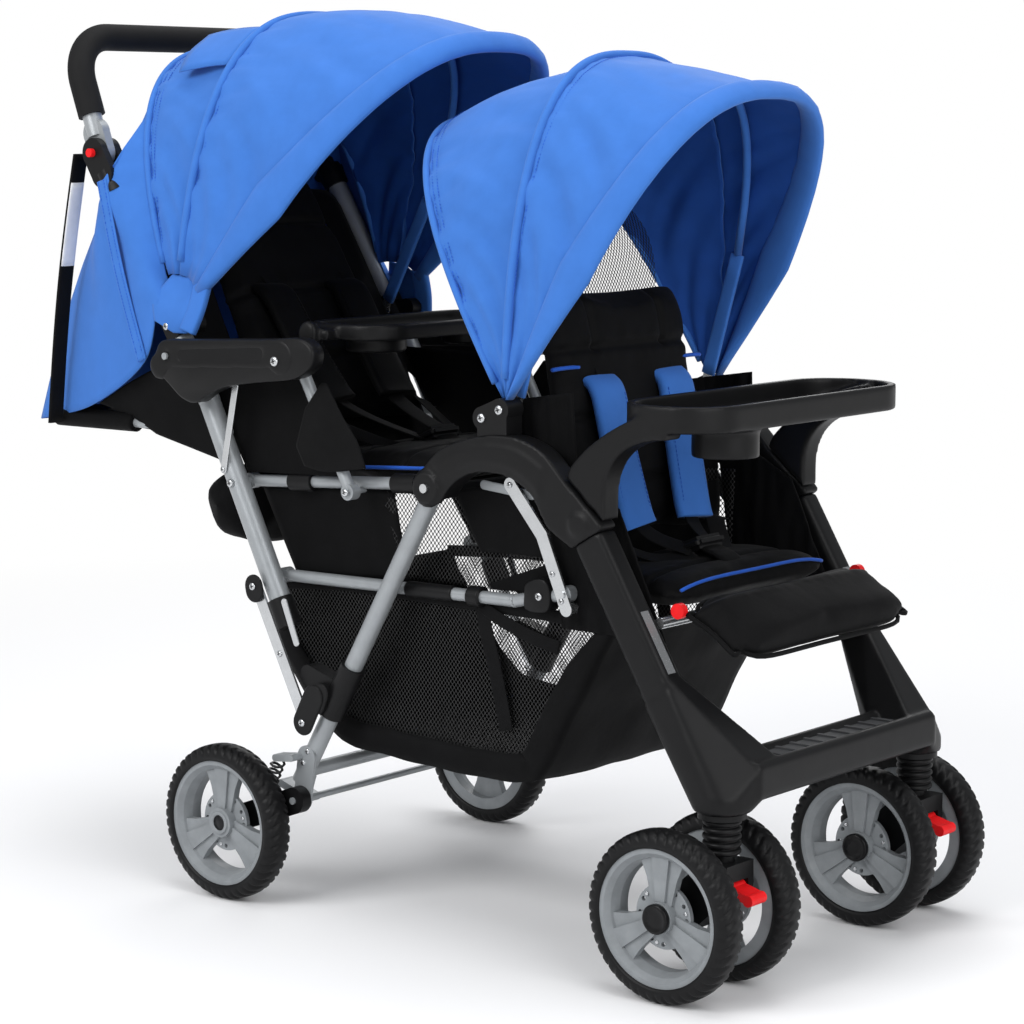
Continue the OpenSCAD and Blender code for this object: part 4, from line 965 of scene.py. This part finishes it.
for s, tag in SIDES:
    net_panel(f"side_net_{tag}", [(170, 478), (430, 493), (425, 384), (205, 382)], s * 156.5, "front_frame",
              NET, thick=0.5)
    net_panel(f"rear_side_cloth_{tag}", [(-14, 470), (188, 480), (212, 380), (40, 371)], s * 156,
              "seat_rails")
    net_panel(f"rear_wing_{tag}", [(-92, 606), (66, 604), (142, 492), (-20, 486)], s * 173.4, "seat_rails",
              thick=1.0, belly=2.0)
    net_panel(f"front_side_cloth_{tag}", [(352, 590), (446, 604), (456, 468), (372, 512)], s * 164,
              "front_frame", n=40, belly=2.0, gather=5.0, folds=DOWN_TO_SEAT)
    net_panel(f"front_seat_side_{tag}", [(398, 545), (505, 486), (566, 352), (428, 352)], s * 160,
              "front_frame", n=40, belly=2.0, gather=4.0)
    net_panel(f"front_sling_side_{tag}", [(280, 488), (402, 508), (404, 426), (318, 424)], s * 160.5,
              "front_frame", belly=0.5, gather=1.0)
    net_panel(f"front_sling_tab_{tag}", [(330, 390), (424, 424), (426, 388), (334, 384)], s * 160.5,
              "front_frame", belly=0.5)


def draped(name, lines, rows, steps, thick, mat, flip, fold, seed, cut, held, on, inside=None, uv=None):
    """Cloth through lines that run side by side, with soft folds of that depth."""
    side = [resampled(q, rows) for q in lines]
    g = [curve_through([q[i] for q in side], steps) for i in range(rows)]
    nor = grid_normals(g)
    cols = len(g[0])
    for i in range(rows):
        for j in range(cols):
            edge = math.sin(math.pi * i / (rows - 1)) * math.sin(math.pi * j / (cols - 1))
            p = g[i][j]
            g[i][j] = tuple(p + nor[i][j] * fold * edge * ripple((p[0], p[1], p[2] * 0.5), 46, seed))
    return cloth_sheet(sheet_from(name, g, thick, mat, flip, uv, inside), *cut, held, [on])


def cross_lines(line, w, dx=0, low=0, high=0):
    """Lines across the part at the points (x, z) of a profile, with raised ends and a shifted middle."""
    return [[(x, -w, z + high), (x + dx, 0, z - low), (x, w, z + high)] for x, z in line]


for s, tag in SIDES:
    bow = [rear_c.at(*REAR_EDGE, math.pi * (s < 0) + s * 0.717 * (1 - k / 8), 0.5) for k in range(9)]
    lines = [bow + [(-117, s * 186.5, 676)],
             [(-197, s * 156, 890), (-203, s * 184, 852), (-208, s * 198, 826), (-213, s * 204, 806),
              (-131, s * 205, 674)],
             [(-199, s * 155, 891), (-208, s * 184, 852), (-211, s * 197, 832), (-224, s * 203.5, 812),
              (-161, s * 201, 606)],
             [drop_point(0.02, s), (-246, s * 189, 790), (-264, s * 184, 690), (-270, s * 184, 548)],
             [drop_point(t / 8, s) for t in range(9)]]
    # Its inner face is painted shade: a darker copy of the blue.
    wing = draped(f"drop_wing_{tag}", lines, 40, 10, 1.6, BLUE, s < 0, 5.0, 3.0 + s,
                  (355, 427, 0.057), "hung", "deck_frame", BLUE_PAINTED_SHADE)
    done(wing, "pusher", "blue_fabric")
    band = curve_through([(-223, s * 205, 816), (-196, s * 206.5, 716), (-162, s * 203, 608)], 16)
    bits = [tube("band", band, 8, BLUE, 12, flat=0.16, up=(0, s, 0))]
    for e in (-5, 5):
        line = [q + np.array((e * 0.9, s * 1.5, e * 0.3)) for q in band]
        bits.append(stitches("band_stitch", line, PIPING))
    done(joined(f"wing_band_{tag}", bits), "pusher", "blue_fabric")
    lines = [[(-64, s * 175, 562), (-120, s * 175, 652), (-196, s * 175, 778)],
             [(-70, s * 160, 575), (-122, s * 158, 668), (-190, s * 148, 796)],
             [rear_back(30, s * 140, 8), rear_back(160, s * 128, 8), rear_back(330, s * 112, 8)]]
    gap = draped(f"rear_back_wing_{tag}", lines, 26, 8, 1.4, LINING, s > 0, 4.0, 2.0 + s, (73, 301, 0.014),
                 "stretched", "rear_backrest")
    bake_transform(gap)

SLING = [(258, 492), (278, 462), (300, 438), (335, 420), (372, 419), (404, 425)]
o = draped("front_sling", cross_lines(SLING, 150, low=3), 30, 6, 1.4, LINING, False, 5.0, 5.0,
           (178, 300, 0.0534), "hung", "frame_steelwork")
done(o, "front_frame", "black_fabric")

TUCK = [(396, 396), (404, 420), (412, 446), (411, 480)]
o = draped("front_seat_tuck", cross_lines(TUCK, 152, dx=3), 30, 6, 1.4, LINING, False, 3.0, 7.0,
           (87, 304, 0.0263), "hung", "front_seat_pad")
done(o, "front_frame", "black_fabric")
for s, tag in SIDES:
    lines = [[(-268, s * 174, 550), (-213, s * 178, 577), (-164, s * 180, 598), (-104, s * 176, 596)],
             [(-250, s * 170, 545), (-200, s * 172, 555), (-150, s * 172, 556), (-80, s * 172, 546)],
             [(-262, s * 166, 543), (-224, s * 168, 540), (-175, s * 168, 518), (-62, s * 168, 494)]]
    o = draped(f"deck_skirt_{tag}", lines, 26, 8, 1.2, LINING, s > 0, 4.0, 6.0 + s, (111, 207, 0.0119),
               "hung", "deck_frame")
    done(o, "pusher", "black_fabric")
    lines = [[rear_c.at(a, 60, abs(math.pi * (s < 0) - 0.06), 1.5) for a in (94, 66, 44)],
             [(-139, s * 203, 682), (-106, s * 202, 672), (-76, s * 199, 670)],
             [(-137, s * 205, 656), (-106, s * 204.5, 643), (-84, s * 204.5, 643)]]
    o = draped(f"rear_canopy_corner_{tag}", lines, 16, 8, 1.4, BLUE, s > 0, 2.0, 4.0 + s, (66, 65, 0.0036),
               "stretched", "rear_canopy_stays")
    done(o, "rear_visor", "blue_fabric")
    line = curve_through([(-74, s * 188, 700), (-76, s * 197, 672), (-83, s * 205.5, 645)], 8)
    tail = tube(f"rear_rim_tail_{tag}", line, 12, BLUE, 16, flat=0.42, up=(0, s, 0))
    done(tail, "rear_visor", "blue_fabric")
    line = [(-350, s * 163.5, 528), (-346, s * 163.5, 528), (-219, s * 163.5, 529), (-215, s * 163.5, 529)]
    done(tube(f"deck_sleeve_{tag}", line, 11.5, LINING, 16), "pusher", "black_fabric")
    lines = [[(118, s * 197.5, 597), (94, s * 198, 568), (79, s * 198, 525), (92, s * 198, 503)],
             [(122, s * 197.5, 598), (122, s * 201, 560), (124, s * 202, 525), (128, s * 199, 499)],
             [(126, s * 197.5, 597), (150, s * 198, 562), (172, s * 198, 536), (184, s * 198, 507)]]
    o = draped(f"strut_gusset_{tag}", lines, 24, 8, 1.6, CLOTH, s > 0, 3.0, 2.0 + s, (96, 108, 0.0064),
               "hung", "struts")
    done(o, "seat_rails", "black_fabric")

TUCK = [(34, 506), (2, 503), (-24, 514), (-44, 548)]
o = draped("rear_seat_tuck", cross_lines(TUCK, 150, low=2), 30, 6, 1.4, LINING, False, 3.0, 8.0,
           (101, 300, 0.0302), "hung", "rear_seat_pad")
done(o, "seat_rails", "black_fabric")

DECK = [(-350, 536), (-290, 524), (-200, 516), (-120, 518), (-56, 532)]
o = draped("deck_sling", cross_lines(DECK, 152, low=6, high=4), 30, 8, 1.4, LINING, False, 6.0, 9.0,
           (297, 305, 0.0905), "hung", "deck_frame")
done(o, "pusher", "black_fabric")

# Rows of the window net: x, z, half width and drop at the ends
NET_TOP = [(352, 676, 106, 0), (352, 704, 108, 0), (340, 742, 116, 0), (314, 776, 124, 0), (262, 826, 122, 6),
           (212, 866, 100, 16)]
lines = [[(x, -w, z - d), (x, 0, z + 6), (x, w, z - d)] for x, z, w, d in NET_TOP]
o = draped("front_window_net", lines, 24, 6, 0.5, NET, False, 2.0, 6.0, (247, 250, 0.0564), "stretched",
           "front_canopy_stays", uv=1)
done(o, "front_frame", "black_fabric", (), DOWN_TO_TRAY)


def pouch():
    """Soft roll of spare cloth that hangs behind the rear seat."""
    verts = []
    n, sides = 40, 28
    for i in range(n):
        v = -1 + 2 * i / (n - 1)
        swell = (1 - abs(v) ** 5) ** 0.5
        for k in range(sides):
            t = 2 * math.pi * k / sides
            r = swell * (1 + 0.16 * ripple((math.cos(t) * 40, v * 90, math.sin(t) * 40), 30, 8.0))
            x = -94 + 42 * r * math.cos(t) - 6 * r * math.sin(t)
            verts.append((x, 152 * v, 438 + 48 * r * math.sin(t)))
    o = obj_from("rear_pouch", verts, skin(n, sides, caps=False), LINING)
    return done(o, "pusher", "black_fabric")


pouch()


def flap_point(t, u):
    """Point of the small flap on the rear canopy, which lifts towards its free edge."""
    lift = 4.5 + 5 * t * t + 0.8 * math.sin(3 * t + 8 * u)
    return rear_c.at(mix(82, 97, t), mix(356, 342, t), mix(1.92, 2.3, u), lift)


o = sheet_from("canopy_flap", grid(9, 9, flap_point), 1.6, BLUE)
cloth_sheet(o, 72, 90, 0.0061, "hung", ["rear_canopy_stays"])
done(o, "pusher", "blue_fabric")


# Small mouldings, links and webs

def capsule(name, a, b, w, y0, y1, mat, body, slot):
    """Flat piece with round ends in the side plane, with its edges eased."""
    a = np.array(a, float)
    b = np.array(b, float)
    d = (b - a) / (np.linalg.norm(b - a) + 1e-9)
    turn = math.atan2(d[1], d[0])
    ring = []
    for end, start in ((b, -math.pi / 2), (a, math.pi / 2)):
        for k in range(13):
            t = turn + start + math.pi * k / 12
            ring.append((end, np.array((math.cos(t), math.sin(t)))))
    ease = min(1.2, abs(y1 - y0) * 0.3)
    sign = 1 if y1 > y0 else -1
    verts = []
    for y, cut in ((y0, ease), (y0 + sign * ease, 0), (y1 - sign * ease, 0), (y1, ease)):
        for end, n in ring:
            q = end + n * (w / 2 - cut)
            verts.append((q[0], y, q[1]))
    return done(obj_from(name, verts, skin(4, len(ring)), mat, smooth=False), body, slot)


def plate(name, corners, y0, y1, mat, body, slot, ease=3.0):
    """Flat moulding with a smooth outline in the side plane, with its edges eased."""
    loop = corners + corners[:3]
    ring = np.array(curve_through(loop, 5)[5:5 + 5 * len(corners)])
    mid = ring.mean(axis=0)
    size = np.abs(ring - mid).max(axis=0)
    sign = 1 if y1 > y0 else -1
    verts = []
    for y, cut in ((y0, ease), (y0 + sign * ease, 0), (y1 - sign * ease, 0),
                   (y1 - sign * ease * 0.3, ease * 0.3), (y1, ease)):
        verts += [(q[0], y, q[1]) for q in mid + (ring - mid) * (1 - cut / size)]
    return done(obj_from(name, verts, skin(5, len(ring)), mat), body, slot)


SHOULDER = [(-112, 600), (-116, 622), (-100, 636), (-60, 636), (0, 637), (60, 644), (100, 648), (120, 645),
            (131, 634), (128, 618), (113, 607), (94, 601), (50, 596), (0, 589), (-30, 579), (-53, 567),
            (-74, 570), (-94, 584)]
RAIL_END = [(390, 371), (389, 384), (391, 397), (404, 404), (418, 403), (424, 388), (421, 372), (405, 368)]
# Flat links: name, ends, width, from and to across, material, body and slot
LINKS = (("armrest_stay", (-10, 588), (-31, 490), 9, 201.2, 203.2, STEEL, "pusher", "steel"),
         ("stay_tab", (328, 498), (394, 492), 10, 166, 168.5, TUBE, "front_frame", "steel"),
         ("latch_tongue", (62, 346), (80, 302), 9, 200, 202.3, STEEL, "pusher", "steel"),
         ("link_ear", (96, 213), (112, 244), 29, 206, 210, PLASTIC, "rear_legs", "black_plastic"),
         ("link_ear_root", (116, 236), (122, 250), 22, 196, 208, PLASTIC, "rear_legs", "black_plastic"),
         ("link_head", (21, 361), (22, 356), 27, 206, 210, PLASTIC, "pusher", "black_plastic"))
# Screws that show: name, place, radius and body
SCREWS = (("armrest_stay_rivet", (-31, 203.2, 490), 3.2, "pusher"),
          ("rail_end_screw", (410, 175, 386), 4.4, "lower_rails"),
          ("arch_bolt", (278, 203, 494), 6.5, "front_frame"),
          ("canopy_screw_f1", (376, 200, 584), 5, "front_frame"),
          ("canopy_screw_f2", (352, 200, 574), 5, "front_frame"),
          ("stay_rivet_0", (428, 175, 412), 3.2, "front_frame"),
          ("stay_rivet_1", (440, 175, 384), 3.2, "front_frame"),
          ("stay_rivet_2", (370, 175, 502), 3.2, "front_frame"),
          ("leg_rivet_0", (86, 198.4, 164), 3.4, "rear_legs"),
          ("leg_rivet_1", (93, 198.4, 178), 3.4, "rear_legs"),
          ("link_ear_screw", (96, 210, 213), 4.4, "rear_legs"),
          ("link_head_screw", (21, 210, 361), 4.4, "pusher"),
          ("link_rivet", (58, 205.5, 287), 3.6, "fold_links"),
          ("link_top_rivet", (21, 208.5, 361), 4.5, "pusher"),
          ("rail_bolt", (-21, 201.5, 475), 4.5, "seat_rails"),
          ("strut_bolt", (153, 197, 478), 4.5, "seat_rails"),
          ("bracket_screw", (-119, 204, 650), 4.5, "pusher"),
          ("armrest_screw", (75, 226, 621), 5.5, "armrests"))
RAIL_Y = 165

for s, tag in SIDES:
    plate(f"armrest_shoulder_{tag}", SHOULDER, s * 203.5, s * 225, PLASTIC, "armrests", "black_plastic")
    plate(f"rail_end_{tag}", RAIL_END, s * 155, s * 175, PLASTIC, "lower_rails", "black_plastic", 1.6)
    for name, a, b, w, y0, y1, mat, body, slot in LINKS:
        capsule(f"{name}_{tag}", a, b, w, s * y0, s * y1, mat, body, slot)
    for name, (x, y, z), r, body in SCREWS:
        screw(f"{name}_{tag}", (x, s * y, z), s, r, body)
    for x0, x1, r, k in ((218, 284, 8.8, 0), (308, 324, 11.5, 1)):
        z0, z1 = (370 + (x - 31) * 6 / 338 for x in (x0, x1))
        line = [(x, s * RAIL_Y, z) for x, z in ((x0, z0), (x0 + 2, z0), (x1 - 2, z1), (x1, z1))]
        done(tube(f"rail_sleeve_{tag}_{k}", line, r, PLASTIC, 20), "lower_rails", "black_plastic")
    for name, width, web in (("basket_web", 19, ((318, 160, 370), (324, 160, 340), (334, 158, 300),
                                                 (343, 157, 262), (350, 157, 230))),
                             ("basket_web2", 15, ((316, 161, 366), (345, 160, 352), (388, 160, 338),
                                                  (424, 158, 330)))):
        strap(f"{name}_{tag}", [(x, s * y, z) for x, y, z in web], width, 1.6, WEB, "front_frame",
              "black_fabric", up=(0, 1, 0), folds=BASKET_FOLD)
    for label, shell, angle, r in (("front", front_c, 74, 372), ("rear", rear_c, 62, 395)):
        a = math.radians(angle)
        px, pz = shell.pivot
        line = [(px + q * math.cos(a), s * 172, pz + q * math.sin(a)) for q in (14, 30, 80, 130, 157)]
        sleeve = tube(f"{label}_stay_sleeve_{tag}", line, 8.5, BLUE, 16, flat=0.36, up=(0, 1, 0))
        done(sleeve, label + "_visor", "blue_fabric")
        arc = [line[-1]] + [shell.at(angle, r, mix(0.5, 1.56, k / 24), -8) for k in range(25)]
        arc = [(x, s * abs(y), z) for x, y, z in arc]
        done(tube(f"{label}_binding_{tag}", arc, 4.6, BLUE, 12), label + "_visor", "blue_fabric")


# Tyres and hubs

def tyre(name, c):
    """Tyre about c, with slanted tread blocks at its shoulders and a groove on each side of the middle."""
    r_out, r_in, w = 90.0, 72.3, 34.0
    blocks, steps = 46, 8
    around, section = blocks * steps, 29
    verts = []
    for i in range(around):
        th = 2 * math.pi * i / around
        for j in range(section):
            q = math.pi * j / (section - 1)
            ax = w / 2 * math.copysign(abs(math.cos(q)) ** 0.62, math.cos(q))
            rad = r_in + (r_out - 0.3 - r_in) * abs(math.sin(q)) ** 0.62
            share = abs(ax) / (w / 2)
            phase = (i / steps + 0.9 * share) % 1.0
            groove = smooth_step(0.08, 0.2, phase) * (1 - smooth_step(0.42, 0.54, phase))
            zone = smooth_step(0.3, 0.42, share) * smooth_step(r_in + 5, r_in + 9, rad)
            centre = 1.2 * math.exp(-((share - 0.16) / 0.05) ** 2)
            rad -= 2.4 * groove * zone + centre * smooth_step(r_out - 4, r_out - 1, rad)
            verts.append((c[0] + rad * math.cos(th), c[1] + ax, c[2] + rad * math.sin(th)))
    return obj_from(name, verts, skin(around, section, closed=True), RUBBER)


def bolts(c, side):
    """Ring of small bolt heads round a hub."""
    turns = [k * math.pi / 3 + 0.26 for k in range(6)]
    return [disc("bolt", (c[0] + 29 * math.cos(t), c[1], c[2] + 29 * math.sin(t)), side,
                 [(1.5, 2.3), (3.6, 2.3), (4.0, 1.7)], STEEL, 12) for t in turns]


WHEEL_R = 90
WHEELBASE = 623
for side, tag in ((-1, "right"), (1, "left")):
    c = (0, side * 235, WHEEL_R)
    done(tyre(f"rear_tyre_tread_{tag}", c), f"rear_wheel_{tag}", "tyre", f"rear_tyre_{tag}")
    rings = [(10, 13.2), (14.4, 13.2), (14.8, 12.6), (14.8, 9.6), (13.2, 9.0)]
    socket = disc("socket", c, side, rings, WHEEL)
    # A thin dark disc on the end of the socket paints the shade of its hole.
    hole = disc("hole", c, side, [(13.0, 9.0), (13.3, 8.8)], BLACK_STEEL_AND_SHADE)
    done(joined(f"rear_hub_{tag}", [socket, hole] + bolts(c, side)), f"rear_wheel_{tag}", "wheel_grey")
    pair = []
    hubs = []
    for out in (-1, 1):
        c = (WHEELBASE, side * 185 + out * 51.5, WHEEL_R)
        pair.append(tyre("tyre", c))
        rings = [(11, 15.5), (17.6, 15.5), (18.6, 14.6), (19.0, 12.5), (18.2, 11.6), (18.6, 6.0)]
        hubs.append(disc("cap", c, out, rings, PLASTIC_GLOSS))
        hubs += bolts(c, out)
    done(joined(f"front_tyre_treads_{tag}", pair), f"front_wheels_{tag}", "tyre", f"front_tyres_{tag}")
    done(joined(f"front_hub_caps_{tag}", hubs), f"front_wheels_{tag}", "black_plastic")


# Wrist strap with a bare pale patch

def wrist_strap():
    top, foot = np.array((-277.0, -188, 846)), np.array((-333.0, -188, 523))
    pts = []
    for t in np.linspace(0, 1, 40):
        sway = np.array((-7 * math.sin(math.pi * t), 1.5 * math.sin(2.2 * t), 0))
        pts.append(tuple(mix(top, foot, t) + sway))
    web = tube("strap_web", pts, 11, WEB, 16, flat=0.2, up=(1, 0, 0.2))
    patch = tube("strap_patch", pts[4:17], 10.6, PATCH, 16, flat=0.29, up=(1, 0, 0.2))
    return done(joined("wrist_strap_web", [web, patch]), "pusher", "black_fabric", "wrist_strap")


wrist_strap()


# Stage and light

def stage():
    bpy.ops.mesh.primitive_plane_add(size=60, location=(0, 0, 0))
    floor = bpy.context.object
    floor.name = "floor"
    s = Shader("pale_floor", (0.86, 0.86, 0.87, 1), 0.9)
    s.set("Specular IOR Level", 0.0)
    far = s.node("ShaderNodeVectorMath", {0: s.coord}, operation="LENGTH").outputs["Value"]
    fade = s.node("ShaderNodeMapRange", {"From Min": 0.9, "From Max": 2.6, "Value": far}).outputs[0]
    glow = s.node("ShaderNodeEmission", {"Color": (1, 1, 1, 1), "Strength": 1.0}).outputs[0]
    blend = s.node("ShaderNodeMixShader", {"Fac": fade, 1: s.bsdf.outputs[0], 2: glow}).outputs[0]
    s.tree.links.new(blend, s.tree.nodes["Material Output"].inputs["Surface"])
    floor.data.materials.append(s.mat)
    world = bpy.data.worlds.new("world")
    scene.world = world
    world.use_nodes = True
    t = world.node_tree
    t.nodes.clear()
    path = t.nodes.new("ShaderNodeLightPath").outputs
    seen = add_node(t, "ShaderNodeMath", {0: path["Is Camera Ray"], 1: path["Is Transmission Ray"]},
                    operation="MAXIMUM").outputs[0]
    white = add_node(t, "ShaderNodeBackground", {"Color": (1, 1, 1, 1)}).outputs[0]
    soft = add_node(t, "ShaderNodeBackground", {"Color": (0.95, 0.97, 1, 1), "Strength": 0.42}).outputs[0]
    both = add_node(t, "ShaderNodeMixShader", {"Fac": seen, 1: soft, 2: white}).outputs[0]
    add_node(t, "ShaderNodeOutputWorld", {"Surface": both})

    def lamp(name, at, aim_at, size, power):
        d = bpy.data.lights.new(name, "AREA")
        d.size = size
        d.energy = power
        o = bpy.data.objects.new(name, d)
        scene.collection.objects.link(o)
        o.location = at
        o.rotation_euler = (Vector(aim_at) - Vector(at)).to_track_quat("-Z", "Y").to_euler()

    lamp("key", (-0.6, -3.2, 2.6), (0, 0, 0.5), 2.2, 95)
    lamp("fill", (3.2, -1.0, 1.8), (0, 0, 0.45), 2.4, 55)
    lamp("top", (0.2, 0.4, 3.4), (0, 0, 0.5), 2.6, 60)
    lamp("back", (-1.5, 2.8, 2.2), (0, 0, 0.6), 2.0, 30)


stage()
scene.view_settings.view_transform = "Standard"
